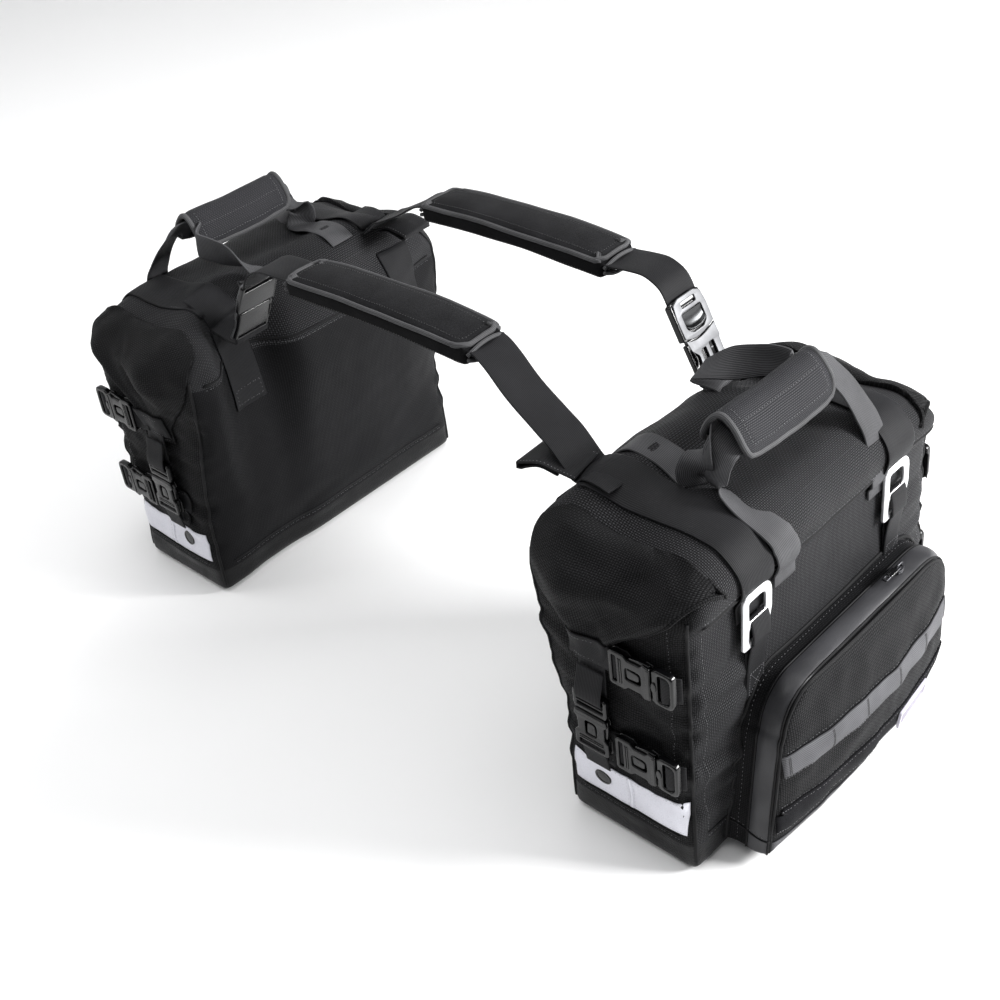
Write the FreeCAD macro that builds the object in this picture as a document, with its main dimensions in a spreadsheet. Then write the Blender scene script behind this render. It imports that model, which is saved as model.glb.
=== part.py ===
import FreeCAD, Part
import os
import re
import Sketcher

# A pair of soft motorcycle saddlebags joined by two padded straps over the seat.
# Row frame, millimetres: +X towards the motorcycle's rear, +Y towards its right side, +Z up.
# The origin lies on the floor plane under the middle of the pair. Every piece of a bag is built once,
# at the left bag's place (negative Y). The right bag is the same bag turned half a turn about +Z.

DOC = FreeCAD.newDocument("saddlebags")
VECTOR = FreeCAD.Vector
X_AXIS = VECTOR(1, 0, 0)
Z_AXIS = VECTOR(0, 0, 1)

DIMENSIONS = [
    ("bag_length", 440, "main compartment, front end to rear end"),
    ("bag_depth", 170, "main compartment, back panel to front panel"),
    ("back_offset", 310, "middle of the motorcycle to a bag's back panel"),
    ("seam_height", 335, "floor to the seam where the roll top starts"),
    ("ridge_height", 390, "floor to the top of the closed roll top"),
    ("panel", 5, "padded side panel"),
    ("corner", 24, "radius of the upright corners"),
    ("gap", 0.4, "clearance between sewn layers"),
    ("boot", 2.4, "coated base fabric"),
    ("boot_height", 48, "floor to the top edge of the base"),
    ("liner", 1.5, "waterproof inner lining"),
    ("board", 3, "stiffening board behind the back panel"),
    ("pocket_top_width", 302, "front pocket across its top"),
    ("pocket_base_width", 378, "front pocket across its base"),
    ("pocket_top", 216, "floor to the top of the front pocket"),
    ("pocket_base", 12, "floor to the bottom of the front pocket"),
    ("pocket_depth", 50, "how far the front pocket stands out"),
    ("pocket_corner", 45, "radius of the pocket's upper corners"),
    ("pocket_wall", 4, "pocket padding"),
    ("webbing", 2.4, "thickness of all webbing"),
    ("strap_width", 50, "main strap webbing"),
    ("strap_spread", 126, "middle of the bag to each top strap"),
    ("pad_spread", 110, "middle of the pair to each seat pad"),
    ("pad_length", 294, "seat pad across the seat"),
    ("pad_width", 70, "seat pad along the seat"),
    ("pad_thickness", 25, "seat pad"),
    ("pad_base", 473, "floor to the underside of the seat pads"),
    ("hook_width", 48, "strap hook across"),
    ("hook_height", 84, "strap hook, top to bottom"),
    ("hook_plate", 4, "strap hook plate thickness"),
    ("hook_base", 251, "floor to the bottom of the strap hooks"),
    ("hook_front", 494, "middle of the motorcycle to the hooks' outer face"),
    ("anchor_width", 29, "hook anchor loop across"),
    ("buckle_width", 44, "side release buckle across"),
    ("buckle_plate", 12, "side release buckle thickness"),
    ("socket_length", 52, "buckle socket"),
    ("tongue_base", 27, "buckle tongue outside the socket"),
    ("prong_length", 30, "buckle tongue inside the socket"),
    ("prong_plate", 6, "buckle tongue thickness"),
    ("end_standoff", 2, "webbing that lifts a buckle off the end panel"),
    ("latch_width", 58, "strap latch across"),
    ("latch_reach", 50, "half the length of the closed strap latch"),
    ("latch_plate", 10, "strap latch thickness"),
    ("latch_spread", 116, "middle of the bag to the strap latch"),
    ("latch_offset", 247, "middle of the motorcycle to the strap latch"),
    ("latch_height", 416, "floor to the middle of the strap latch"),
    ("latch_tilt", 26.2, "lean of the hanging latch towards the seat, in degrees"),
    ("grip_length", 150, "carry grip"),
    ("grip_width", 50, "carry grip, front to back"),
    ("grip_depth", 44, "carry grip, top to bottom"),
    ("grip_wall", 5, "carry grip padding"),
    ("grip_offset", 420, "middle of the motorcycle to the grip"),
    ("grip_base", 440, "floor to the bottom of the grip"),
    ("handle_width", 32, "carry handle webbing"),
    ("handle_spread", 87, "middle of the bag to each handle foot"),
]

SHEET = DOC.addObject("Spreadsheet::Sheet", "Sizes")
for line, (name, number, note) in enumerate(DIMENSIONS, start=1):
    SHEET.set("A%d" % line, name)
    SHEET.set("B%d" % line, str(number))
    SHEET.set("C%d" % line, note)
    SHEET.setAlias("B%d" % line, name)
DOC.recompute()


# ---------------------------------------------------------------- helpers

def bound(text):
    """Turn an expression in plain dimension names into one that reads the sheet."""
    return re.sub(r"[a-z][a-z_]*", r"Sizes.\g<0>", str(text))


def value(text):
    """The present value of an expression in millimetres."""
    return float(SHEET.evalExpression(bound(text)))


def place(thing, x=0, y=0, z=0):
    """Bind a piece's position to the sheet."""
    for axis, text in zip("xyz", (x, y, z)):
        thing.setExpression("Placement.Base." + axis, bound(text))


def box(name, low, high):
    """A box between two corners, each given as three expressions."""
    thing = DOC.addObject("Part::Box", name)
    for side, start, end in zip(("Length", "Width", "Height"), low, high):
        thing.setExpression(side, bound("(%s) - (%s)" % (end, start)))
    place(thing, *low)
    return thing


def rod(name, middle, radius, length):
    """A round rod along X, centred on a point."""
    thing = DOC.addObject("Part::Cylinder", name)
    thing.setExpression("Radius", bound(radius))
    thing.setExpression("Height", bound(length))
    thing.Placement = FreeCAD.Placement(VECTOR(), FreeCAD.Rotation(VECTOR(0, 1, 0), 90))
    place(thing, "(%s) - (%s) / 2" % (middle[0], length), middle[1], middle[2])
    return thing


def fuse(name, pieces):
    """Join pieces into one solid."""
    thing = DOC.addObject("Part::MultiFuse", name)
    thing.Shapes = pieces
    thing.Refine = True
    return thing


def cut(name, base, tool):
    """Take a tool away from a base."""
    thing = DOC.addObject("Part::Cut", name)
    thing.Base = base
    thing.Tool = tool
    return thing


def group(name, pieces):
    """Keep pieces as separate solids of one sub-part."""
    thing = DOC.addObject("Part::Compound", name)
    thing.Links = pieces
    return thing


def outline_sketch(body, name, plane, start, points):
    """A closed polygon whose corners are bound to the sheet."""
    sketch = body.newObject("Sketcher::SketchObject", name)
    feature = [item for item in body.Origin.OriginFeatures if item.Role == plane][0]
    sketch.AttachmentSupport = [(feature, "")]
    sketch.MapMode = "FlatFace"
    sketch.setExpression("AttachmentOffset.Base.z", bound(start))
    corners = [VECTOR(value(across), value(up), 0) for across, up in points]
    for index, corner in enumerate(corners):
        following = corners[(index + 1) % len(corners)]
        sketch.addGeometry(Part.LineSegment(corner, following), False)
    for index in range(len(corners)):
        following = (index + 1) % len(corners)
        sketch.addConstraint(Sketcher.Constraint("Coincident", index, 2, following, 1))
    for index, texts in enumerate(points):
        for kind, text in zip(("DistanceX", "DistanceY"), texts):
            number = sketch.addConstraint(Sketcher.Constraint(kind, -1, 1, index, 1, value(text)))
            sketch.setExpression("Constraints[%d]" % number, bound(text))
    return sketch


def pad(name, plane, start, length, points):
    """A body that extrudes a polygon from start along the plane's normal."""
    body = DOC.addObject("PartDesign::Body", name)
    sketch = outline_sketch(body, name + "_outline", plane, start, points)
    feature = body.newObject("PartDesign::Pad", name + "_pad")
    feature.Profile = sketch
    feature.setExpression("Length", bound(length))
    DOC.recompute([sketch, feature, body])
    return body


def pocket(body, name, plane, start, length, points):
    """Cut a polygon out of a body, from start along the plane's normal."""
    before = body.Shape.Volume
    sketch = outline_sketch(body, name + "_outline", plane, start, points)
    feature = body.newObject("PartDesign::Pocket", name)
    feature.Profile = sketch
    feature.Reversed = True
    feature.setExpression("Length", bound(length))
    DOC.recompute([sketch, feature, body])
    if body.Shape.Volume > before - 1:
        raise RuntimeError(name + " cuts nothing")


def round_edges(body, name, radius, direction, keep=None):
    """Round a body's straight edges along a direction, or those that keep() picks by their middle."""
    base = body.Tip
    names = []
    for index, edge in enumerate(body.Shape.Edges, start=1):
        if edge.Curve.TypeId != "Part::GeomLine":
            continue
        along = edge.Vertexes[-1].Point - edge.Vertexes[0].Point
        middle = edge.CenterOfMass
        if along.cross(direction).Length < 1e-4 * along.Length and (keep is None or keep(middle)):
            names.append("Edge%d" % index)
    feature = body.newObject("PartDesign::Fillet", name)
    feature.Base = (base, names)
    feature.setExpression("Radius", bound(radius))
    DOC.recompute([feature, body])


def rectangle(low_across, high_across, low_up, high_up):
    """Corners of a rectangle, as expressions."""
    return [
        (low_across, low_up),
        (high_across, low_up),
        (high_across, high_up),
        (low_across, high_up),
    ]


def webbing_strip(name, middle, width, path):
    """A strip of webbing of constant thickness that follows a path of (y, z) points.

    Each corner moves along the bisector of its two runs, so the thickness stays the same.
    """
    points = [VECTOR(0, value(y), value(z)) for y, z in path]
    half = value("webbing") / 2
    runs = [(end - start).normalize() for start, end in zip(points, points[1:])]
    upper, lower = [], []
    for index, point in enumerate(points):
        before = runs[max(index - 1, 0)]
        after = runs[min(index, len(runs) - 1)]
        normal = (before + after).normalize().cross(X_AXIS)
        offset = normal * (half / abs(normal.dot(after.cross(X_AXIS))))
        upper.append(point + offset)
        lower.append(point - offset)
    ring = upper + lower[::-1]
    face = Part.Face(Part.makePolygon(ring + ring[:1]))
    wide = value(width)
    face.translate(VECTOR(value(middle) - wide / 2, 0, 0))
    thing = DOC.addObject("Part::Feature", name)
    thing.Shape = face.extrude(VECTOR(wide, 0, 0))
    return thing


BACK = "-back_offset"
FRONT = "-back_offset - bag_depth"
HALF = "bag_length / 2"
bag_pieces = {}


# ---------------------------------------------------------------- bag body and lining

def rounded_block(name, inset, back_inset, low, height, radius):
    """The main compartment's plan, inset on every side, as a block with rounded upright corners."""
    body = pad(name, "XY_Plane", low, height,
               rectangle("%s - %s" % (inset, HALF), "%s - (%s)" % (HALF, inset),
                         "%s + %s" % (FRONT, inset), "%s - (%s)" % (BACK, back_inset)))
    round_edges(body, name + "_corners", radius, Z_AXIS)
    return body


def tray(name, inset, back_inset, low, top, wall):
    """An open-topped tray that follows the main compartment's plan."""
    radius = "corner - (%s)" % inset
    outer = rounded_block(name + "_outside", "(%s)" % inset, back_inset, low, "%s - (%s)" % (top, low), radius)
    inner = rounded_block(name + "_inside", "(%s + %s)" % (inset, wall), "%s + %s" % (back_inset, wall),
                          "%s + %s" % (low, wall), top, "%s - %s" % (radius, wall))
    return cut("left_" + name, outer, inner)


def make_bag_shell():
    return tray("bag_shell", "0", "0", "boot + gap", "seam_height", "panel")


def make_base_boot():
    return tray("base_boot", "-boot - gap", "-boot - gap", "0", "boot_height", "boot")


def make_dry_liner():
    return tray("dry_liner", "panel + gap", "panel + board + 3 * gap", "boot + 2 * gap + panel",
                "seam_height - 9", "liner")


def make_back_board():
    return box("left_back_board",
               ("30 - " + HALF, BACK + " - panel - gap - board", "boot + 2 * gap + panel"),
               (HALF + " - 30", BACK + " - panel - gap", "seam_height - 15"))


# ---------------------------------------------------------------- roll top

def make_roll_top():
    end = HALF + " + 1"
    sill = "seam_height + gap"
    cap = pad("roll_top_cap", "YZ_Plane", "-(%s)" % end, "2 * (%s)" % end, [
        (BACK, sill),
        (FRONT, sill),
        (FRONT + " - 13", "seam_height + 22"),
        (FRONT + " - 4", "ridge_height - 14"),
        (FRONT + " + 22", "ridge_height - 2"),
        (FRONT + " + 70", "ridge_height"),
        (BACK + " - 20", "ridge_height"),
        (BACK, "ridge_height - 12"),
    ])
    pocket(cap, "roll_top_space", "YZ_Plane", "panel - (%s)" % end, "2 * (%s) - 2 * panel" % end, [
        (BACK + " - panel", sill),
        (FRONT + " + panel", sill),
        (FRONT + " - 6", "seam_height + 24"),
        (FRONT + " + 2", "ridge_height - 18"),
        (FRONT + " + 24", "ridge_height - 8"),
        (BACK + " - 22", "ridge_height - 8"),
        (BACK + " - panel", "ridge_height - 16"),
    ])
    ears = []
    for name, start in (("ear_front", "-(%s) - panel" % end), ("ear_rear", end + " - gap")):
        ears.append(pad(name, "YZ_Plane", start, "panel + gap", [
            (BACK + " - 4", "seam_height + 42"),
            (BACK + " - 16", "seam_height - 30"),
            (BACK + " - 28", "seam_height - 98"),
            (BACK + " - 76", "seam_height - 98"),
            (BACK + " - 84", "seam_height - 36"),
            (FRONT + " + 12", "seam_height + 6"),
            (FRONT + " - 8", "seam_height + 30"),
            (FRONT + " + 16", "ridge_height - 6"),
        ]))
    lower = box("ear_clearance", ("-%s - gap" % HALF, FRONT + " - 20", "0"),
                (HALF + " + gap", BACK + " + 20", sill))
    return cut("left_roll_top", fuse("roll_top_cap_and_ears", [cap] + ears), lower)


def make_roll_stiffener():
    return box("left_roll_stiffener",
               ("20 - " + HALF, BACK + " - 62", "ridge_height - 14"),
               (HALF + " - 20", BACK + " - 36", "ridge_height - 10"))


# ---------------------------------------------------------------- front pocket

def pocket_outline(grow):
    """The pocket's tapered outline, grown outwards by an expression."""
    return rectangle_of_widths("pocket_base_width / 2 + %s" % grow, "pocket_top_width / 2 + %s" % grow,
                               "pocket_base - %s" % grow, "pocket_top + %s" % grow)


def rectangle_of_widths(base_half, top_half, low, high):
    """Corners of an outline that narrows towards its top."""
    return [
        ("-(%s)" % base_half, low),
        (base_half, low),
        (top_half, high),
        ("-(%s)" % top_half, high),
    ]


def is_upper(middle):
    """True for an edge in the upper half of the front pocket."""
    return middle.z > value("(pocket_top + pocket_base) / 2")


POCKET_BACK = "back_offset + bag_depth + boot + 2 * gap"


def make_front_pocket():
    body = pad("left_front_pocket", "XZ_Plane", POCKET_BACK, "pocket_depth", pocket_outline("0"))
    round_edges(body, "pocket_corners", "pocket_corner", VECTOR(0, 1, 0), is_upper)
    pocket(body, "pocket_space", "XZ_Plane", POCKET_BACK, "pocket_depth - pocket_wall",
           rectangle_of_widths("pocket_base_width / 2 - 24", "pocket_top_width / 2 - 24",
                               "pocket_base + pocket_wall", "pocket_top - pocket_wall"))
    return body


def make_pocket_zip():
    start = POCKET_BACK + " + pocket_depth - 24"
    outer = pad("zip_band_outer", "XZ_Plane", start, "16", pocket_outline("(gap + 2)"))
    round_edges(outer, "zip_band_corners", "pocket_corner", VECTOR(0, 1, 0), is_upper)
    inner = pad("zip_band_inner", "XZ_Plane", start + " - 1", "18", pocket_outline("gap"))
    round_edges(inner, "zip_band_inner_corners", "pocket_corner", VECTOR(0, 1, 0), is_upper)
    below = box("zip_band_end", ("-bag_length", "-(%s) - 30" % start, "-40"),
                ("bag_length", "-(%s) + 30" % start, "pocket_base + 34"))
    return cut("left_pocket_zip", outer, fuse("zip_band_space", [inner, below]))


POCKET_FACE = "-(%s) - pocket_depth - gap" % POCKET_BACK


def make_pocket_webbing():
    strips = []
    for name, half, low, high in (
        ("molle_strip", "pocket_top_width / 2 + 8", "118", "143"),
        ("loop_strip", "pocket_top_width / 2 + 14", "40", "72"),
        ("edge_strip", "pocket_top_width / 2 + 30", "pocket_base + 3", "pocket_base + 11"),
    ):
        strips.append(box(name, ("-(%s)" % half, POCKET_FACE + " - webbing", low),
                          (half, POCKET_FACE, high)))
    return group("left_pocket_webbing", strips)


def make_pocket_badge():
    return box("left_pocket_badge", ("38", POCKET_FACE + " - webbing - gap - 3", "44"),
               ("104", POCKET_FACE + " - webbing - gap", "68"))


def make_zip_slider():
    floor = "pocket_top + 3 * gap + 2"
    middle = "-(%s) - pocket_depth + 16" % POCKET_BACK
    base = box("slider_base", ("92", middle + " - 5", floor), ("106", middle + " + 5", floor + " + 3"))
    lugs = []
    for name, low, high in (("slider_lug_outer", "- 4.5", "- 2.5"), ("slider_lug_inner", "+ 2.5", "+ 4.5")):
        lugs.append(box(name, ("97", middle + low, floor + " + 2"), ("101", middle + high, floor + " + 7")))
    pin = DOC.addObject("Part::Cylinder", "slider_pin")
    pin.setExpression("Radius", bound("1"))
    pin.setExpression("Height", bound("7"))
    pin.Placement = FreeCAD.Placement(VECTOR(), FreeCAD.Rotation(X_AXIS, 90))
    place(pin, "99", middle + " + 3.5", floor + " + 5")
    return fuse("left_zip_slider", [base] + lugs + [pin])


def make_zip_pull():
    floor = "pocket_top + 3 * gap + 2"
    middle = "-(%s) - pocket_depth + 16" % POCKET_BACK
    tab = box("pull_tab", ("68", middle + " - 2.2", floor + " + 4"),
              ("99", middle + " + 2.2", floor + " + 6.2"))
    eye = DOC.addObject("Part::Cylinder", "pull_eye")
    eye.setExpression("Radius", bound("1.9"))
    eye.setExpression("Height", bound("4.4"))
    hole = DOC.addObject("Part::Cylinder", "pull_eye_hole")
    hole.setExpression("Radius", bound("1.06"))
    hole.setExpression("Height", bound("10"))
    for round_piece, reach in ((eye, "2.2"), (hole, "5")):
        round_piece.Placement = FreeCAD.Placement(VECTOR(), FreeCAD.Rotation(X_AXIS, 90))
        place(round_piece, "99", "%s + %s" % (middle, reach), floor + " + 5")
    return cut("left_zip_pull", fuse("pull_blank", [tab, eye]), hole)


# ---------------------------------------------------------------- end panels

def make_reflective_strips():
    strips = []
    for name, low, high in (("reflector_front", "-%s - gap - 1" % HALF, "-%s - gap" % HALF),
                            ("reflector_rear", HALF + " + gap", HALF + " + gap + 1")):
        strips.append(box(name, (low, FRONT + " + corner", "56"), (high, BACK + " - corner", "98")))
    return group("left_reflective_strips", strips)


def make_socket(name):
    """A buckle socket, mouth at local Y 0 and body along +Y, lying on the local XZ origin plane."""
    half = "buckle_width / 2"
    body = pad(name, "XY_Plane", "-%s" % half, "buckle_width",
               rectangle("-buckle_plate / 2", "buckle_plate / 2", "0", "socket_length"))
    pocket(body, name + "_mouth", "XY_Plane", "3 - %s" % half, "buckle_width - 6",
           rectangle("-prong_plate / 2 - gap", "prong_plate / 2 + gap", "0", "prong_length + 4"))
    for side, start in (("low", "-%s - 1" % half), ("high", "%s - 4" % half)):
        pocket(body, "%s_window_%s" % (name, side), "XY_Plane", start, "5",
               rectangle("-prong_plate / 2 - gap", "prong_plate / 2 + gap", "10", "prong_length - 2"))
    pocket(body, name + "_webbing_slot", "YZ_Plane", "-buckle_plate", "2 * buckle_plate",
           rectangle("socket_length - 9", "socket_length - 4", "5 - %s" % half, "%s - 5" % half))
    return body


def make_tongue(name):
    """A buckle tongue whose prongs point along local +Y into a socket's mouth."""
    half = "buckle_width / 2"
    body = pad(name, "YZ_Plane", "-prong_plate / 2", "prong_plate", [
        ("-tongue_base", "-%s" % half),
        ("-1", "-%s" % half),
        ("-1", "4 - %s" % half),
        ("prong_length - 8", "4 - %s" % half),
        ("prong_length", "8 - %s" % half),
        ("prong_length", "12 - %s" % half),
        ("2", "12 - %s" % half),
        ("2", "-3"),
        ("prong_length - 6", "-3"),
        ("prong_length - 6", "3"),
        ("2", "3"),
        ("2", "%s - 12" % half),
        ("prong_length", "%s - 12" % half),
        ("prong_length", "%s - 8" % half),
        ("prong_length - 8", "%s - 4" % half),
        ("-1", "%s - 4" % half),
        ("-1", half),
        ("-tongue_base", half),
    ])
    pocket(body, name + "_webbing_slot", "YZ_Plane", "-buckle_plate", "2 * buckle_plate",
           rectangle("4 - tongue_base", "9 - tongue_base", "5 - %s" % half, "%s - 5" % half))
    return body


# name: (mouth y, mouth z, turn about +X that points the socket away from the tongue)
BUCKLES = {
    "upper": (FRONT + " + 34", "265", 0),
    "lower": (FRONT + " + 34", "146", 0),
    "roll": (BACK + " - 55", "182", -90),
}
ENDS = {"front": -1, "rear": 1}


def make_buckles():
    """Six side release buckles; the roll buckles sit one webbing layer further out."""
    sockets = []
    for end, sign in ENDS.items():
        for level, (mouth_y, mouth_z, turn) in BUCKLES.items():
            layers = 2 if level == "roll" else 1
            standoff = "end_standoff + 2 * gap + %d * webbing + buckle_plate / 2" % layers
            name = end + "_" + level
            socket = make_socket(name + "_socket")
            tongue = make_tongue("left_tongue_" + name)
            for piece in (socket, tongue):
                piece.Placement = FreeCAD.Placement(VECTOR(), FreeCAD.Rotation(X_AXIS, turn))
                place(piece, "%d * (%s + %s)" % (sign, HALF, standoff), mouth_y, mouth_z)
            sockets.append(socket)
            bag_pieces["tongue_" + name] = tongue
    bag_pieces["buckle_sockets"] = group("left_buckle_sockets", sockets)


def make_sewn_webbing():
    """Flat webbing behind the buckles, the two hook anchor loops and the handle feet."""
    pieces = []
    for end, sign in ENDS.items():
        face = "(%s + 2 * gap + 1)" % HALF
        low, high = (face, face + " + webbing")
        if sign < 0:
            low, high = ("-%s - webbing" % face, "-" + face)
        for level in ("upper", "lower"):
            height = BUCKLES[level][1]
            pieces.append(box("%s_%s_webbing" % (end, level),
                              (low, FRONT + " + corner", height + " - 17"),
                              (high, BACK + " - 96", height + " + 17")))
        pieces.append(box(end + "_roll_webbing", (low, BACK + " - 74", "62"), (high, BACK + " - 36", "176")))
    for side, sign in (("front", "-1"), ("rear", "1")):
        middle = "%s * strap_spread" % sign
        inner = "-hook_front + hook_plate / 2"
        ring = box(side + "_anchor_ring", (middle + " - anchor_width / 2", inner + " - 6", "hook_base - 4.5"),
                   (middle + " + anchor_width / 2", inner + " + 6", "hook_base + 12.5"))
        hole = box(side + "_anchor_space", (middle + " - anchor_width", inner + " - 3.5", "hook_base - 2"),
                   (middle + " + anchor_width", inner + " + 3.5", "hook_base + 10"))
        tail = box(side + "_anchor_tail", (middle + " - anchor_width / 2", FRONT + " - gap - webbing", "225"),
                   (middle + " + anchor_width / 2", FRONT + " - gap", "hook_base + 12.5"))
        bridge = box(side + "_anchor_bridge", (middle + " - anchor_width / 2", inner + " + 4", "hook_base - 4.5"),
                     (middle + " + anchor_width / 2", FRONT + " - gap", "hook_base - 2.5"))
        pieces.append(cut(side + "_anchor_loop", fuse(side + "_anchor_blank", [ring, tail, bridge]), hole))
    for side, sign in (("front", "-1"), ("rear", "1")):
        middle = "%s * handle_spread" % sign
        pieces.append(box(side + "_handle_foot",
                          (middle + " - handle_width / 2", FRONT + " - gap - webbing", "225"),
                          (middle + " + handle_width / 2", FRONT + " - gap", "seam_height - 2")))
    return group("left_sewn_webbing", pieces)


# ---------------------------------------------------------------- straps and strap hooks

def make_top_straps():
    top = "ridge_height + gap + webbing"
    over = [
        ("-hook_front - 6", "hook_base + hook_height + 14"),
        (FRONT + " - 17", "seam_height + 26"),
        (FRONT + " - 6", "ridge_height - 9"),
        (FRONT + " + 21", top + " - 1"),
        (FRONT + " + 70", top),
        (BACK + " - 18", top),
    ]
    hinge = ("-pad_length / 2 - 8", "pad_base + pad_thickness / 2 - 2")
    front = webbing_strip("front_top_strap", "-strap_spread", "strap_width",
                          over + [("-back_offset + 26", "ridge_height + 2"), hinge])
    rear = webbing_strip("rear_top_strap", "strap_spread", "strap_width",
                         over + [(BACK + " - 4", "ridge_height")])
    drop = webbing_strip("rear_drop_strap", "latch_spread", "strap_width",
                         [hinge, ("-latch_offset + 34", "latch_height + 44")])
    return group("left_top_straps", [front, rear, drop])


def make_hook(name, sign):
    """An open strap hook: closed slot above, one leg down its forward side, free bar below."""
    middle = "%s * strap_spread" % sign
    low = middle + " - hook_width / 2"
    high = middle + " + hook_width / 2"
    top = "hook_base + hook_height"
    depth = "hook_front - hook_plate"
    body = pad(name, "XZ_Plane", depth, "hook_plate", [
        (low, "hook_base"),
        (high + " - 5", "hook_base"),
        (high + " - 5", "hook_base + 8"),
        (low + " + 8", "hook_base + 8"),
        (low + " + 8", top + " - 34"),
        (high + " - 3", top + " - 34"),
        (high, top + " - 30"),
        (high, top + " - 16"),
        (high + " - 5", top + " - 5"),
        (high + " - 16", top),
        (low, top),
    ])
    pocket(body, name + "_slot", "XZ_Plane", depth + " - 1", "hook_plate + 2",
           rectangle(low + " + 8", high + " - 8", top + " - 26", top + " - 8"))
    return body


# ---------------------------------------------------------------- strap latch

def lean(piece):
    """Hang a latch piece on the slack strap, its top leaning towards the seat."""
    piece.Placement = FreeCAD.Placement(VECTOR(), FreeCAD.Rotation(-X_AXIS, value("latch_tilt")))
    piece.setExpression("Placement.Rotation.Angle", bound("latch_tilt"))
    place(piece, "latch_spread", "-latch_offset", "latch_height")


def make_latch_frame():
    half = "latch_width / 2"
    body = pad("left_latch_frame", "XZ_Plane", "-latch_plate / 2", "latch_plate", [
        ("-" + half, "1"),
        (half, "1"),
        (half, "latch_reach - 7"),
        (half + " - 10", "latch_reach"),
        ("10 - " + half, "latch_reach"),
        ("-" + half, "latch_reach - 7"),
    ])
    pocket(body, "frame_webbing_slot", "XZ_Plane", "-latch_plate", "2 * latch_plate",
           rectangle("4 - " + half, half + " - 4", "latch_reach - 13", "latch_reach - 7"))
    pocket(body, "insert_space", "XZ_Plane", "-3.5", "6",
           rectangle("-20.4", "20.4", "0", "30"))
    pocket(body, "lever_recess", "XZ_Plane", "2", "latch_plate",
           rectangle("-18", "18", "5", "35"))
    return body


def make_latch_lever():
    return pad("left_latch_lever", "XZ_Plane", "3", "3", rectangle("-17.4", "17.4", "7", "34"))


def make_latch_insert():
    half = "latch_width / 2"
    body = pad("left_latch_insert", "XZ_Plane", "-latch_plate / 2", "latch_plate",
               rectangle("-" + half, half, "-latch_reach", "0"))
    for name, low, high in (("left_window", "-17", "-4"), ("right_window", "4", "17")):
        pocket(body, name, "XZ_Plane", "-latch_plate", "2 * latch_plate", rectangle(low, high, "-30", "-8"))
    pocket(body, "insert_webbing_slot", "XZ_Plane", "-latch_plate", "2 * latch_plate",
           rectangle("4 - " + half, half + " - 4", "6 - latch_reach", "11 - latch_reach"))
    blade = pad("insert_blade", "XZ_Plane", "-3", "5", rectangle("-20", "20", "-1", "28"))
    return fuse("left_latch_insert_plate", [body, blade])


# ---------------------------------------------------------------- carry handle

GRIP_LOW = "grip_base"
GRIP_HIGH = "grip_base + grip_depth"


def make_handle_grip():
    block = box("grip_block", ("-grip_length / 2", "-grip_offset - grip_width / 2", GRIP_LOW),
                ("grip_length / 2", "-grip_offset + grip_width / 2", GRIP_HIGH))
    space = box("grip_space",
                ("-grip_length", "-grip_offset - grip_width / 2 + grip_wall", GRIP_LOW + " + grip_wall"),
                ("grip_length", "-grip_offset + grip_width / 2 - grip_wall", GRIP_HIGH + " - grip_wall"))
    return cut("left_handle_grip", block, space)


def make_carry_handle():
    bands = []
    for name, offset in (("outer_band", "- 12"), ("inner_band", "+ 9")):
        middle = "-grip_offset " + offset
        bands.append(box(name, ("-grip_length / 2 - 12", middle, "grip_base + grip_wall + gap"),
                         ("grip_length / 2 + 12", middle + " + webbing",
                          "grip_base + grip_depth - grip_wall - gap")))
    return group("left_carry_handle", bands)


# ---------------------------------------------------------------- yoke over the seat

def make_yoke_pads():
    pads = []
    for name, sign in (("front_pad", "-1"), ("rear_pad", "1")):
        middle = "%s * pad_spread" % sign
        block = box(name + "_block", (middle + " - pad_width / 2", "-pad_length / 2", "pad_base"),
                    (middle + " + pad_width / 2", "pad_length / 2", "pad_base + pad_thickness"))
        sleeve = box(name + "_sleeve",
                     (middle + " - strap_width / 2 - 2", "-pad_length", "pad_base + pad_thickness / 2 - 4"),
                     (middle + " + strap_width / 2 + 2", "pad_length", "pad_base + pad_thickness / 2 + 2"))
        pads.append(cut(name, block, sleeve))
    return group("yoke_pads", pads)


def make_yoke_straps():
    straps = []
    for name, sign in (("front_strap", "-1"), ("rear_strap", "1")):
        middle = "%s * pad_spread" % sign
        height = "pad_base + pad_thickness / 2 - 2"
        straps.append(box(name, (middle + " - strap_width / 2", "-pad_length / 2 - 4", height),
                          (middle + " + strap_width / 2", "pad_length / 2 + 4", height + " + webbing")))
    return group("yoke_straps", straps)


# ---------------------------------------------------------------- assembly

bag_pieces["bag_shell"] = make_bag_shell()
bag_pieces["base_boot"] = make_base_boot()
bag_pieces["dry_liner"] = make_dry_liner()
bag_pieces["back_board"] = make_back_board()
bag_pieces["roll_top"] = make_roll_top()
bag_pieces["roll_stiffener"] = make_roll_stiffener()
bag_pieces["front_pocket"] = make_front_pocket()
bag_pieces["pocket_zip"] = make_pocket_zip()
bag_pieces["pocket_webbing"] = make_pocket_webbing()
bag_pieces["pocket_badge"] = make_pocket_badge()
bag_pieces["zip_slider"] = make_zip_slider()
bag_pieces["zip_pull"] = make_zip_pull()
bag_pieces["reflective_strips"] = make_reflective_strips()
make_buckles()
bag_pieces["sewn_webbing"] = make_sewn_webbing()
bag_pieces["top_straps"] = make_top_straps()
bag_pieces["hook_front"] = make_hook("left_hook_front", "-1")
bag_pieces["hook_rear"] = make_hook("left_hook_rear", "1")
bag_pieces["latch_frame"] = make_latch_frame()
bag_pieces["latch_lever"] = make_latch_lever()
bag_pieces["latch_insert"] = make_latch_insert()
for latch_piece in ("latch_frame", "latch_lever", "latch_insert"):
    lean(bag_pieces[latch_piece])
bag_pieces["handle_grip"] = make_handle_grip()
bag_pieces["carry_handle"] = make_carry_handle()

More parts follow.
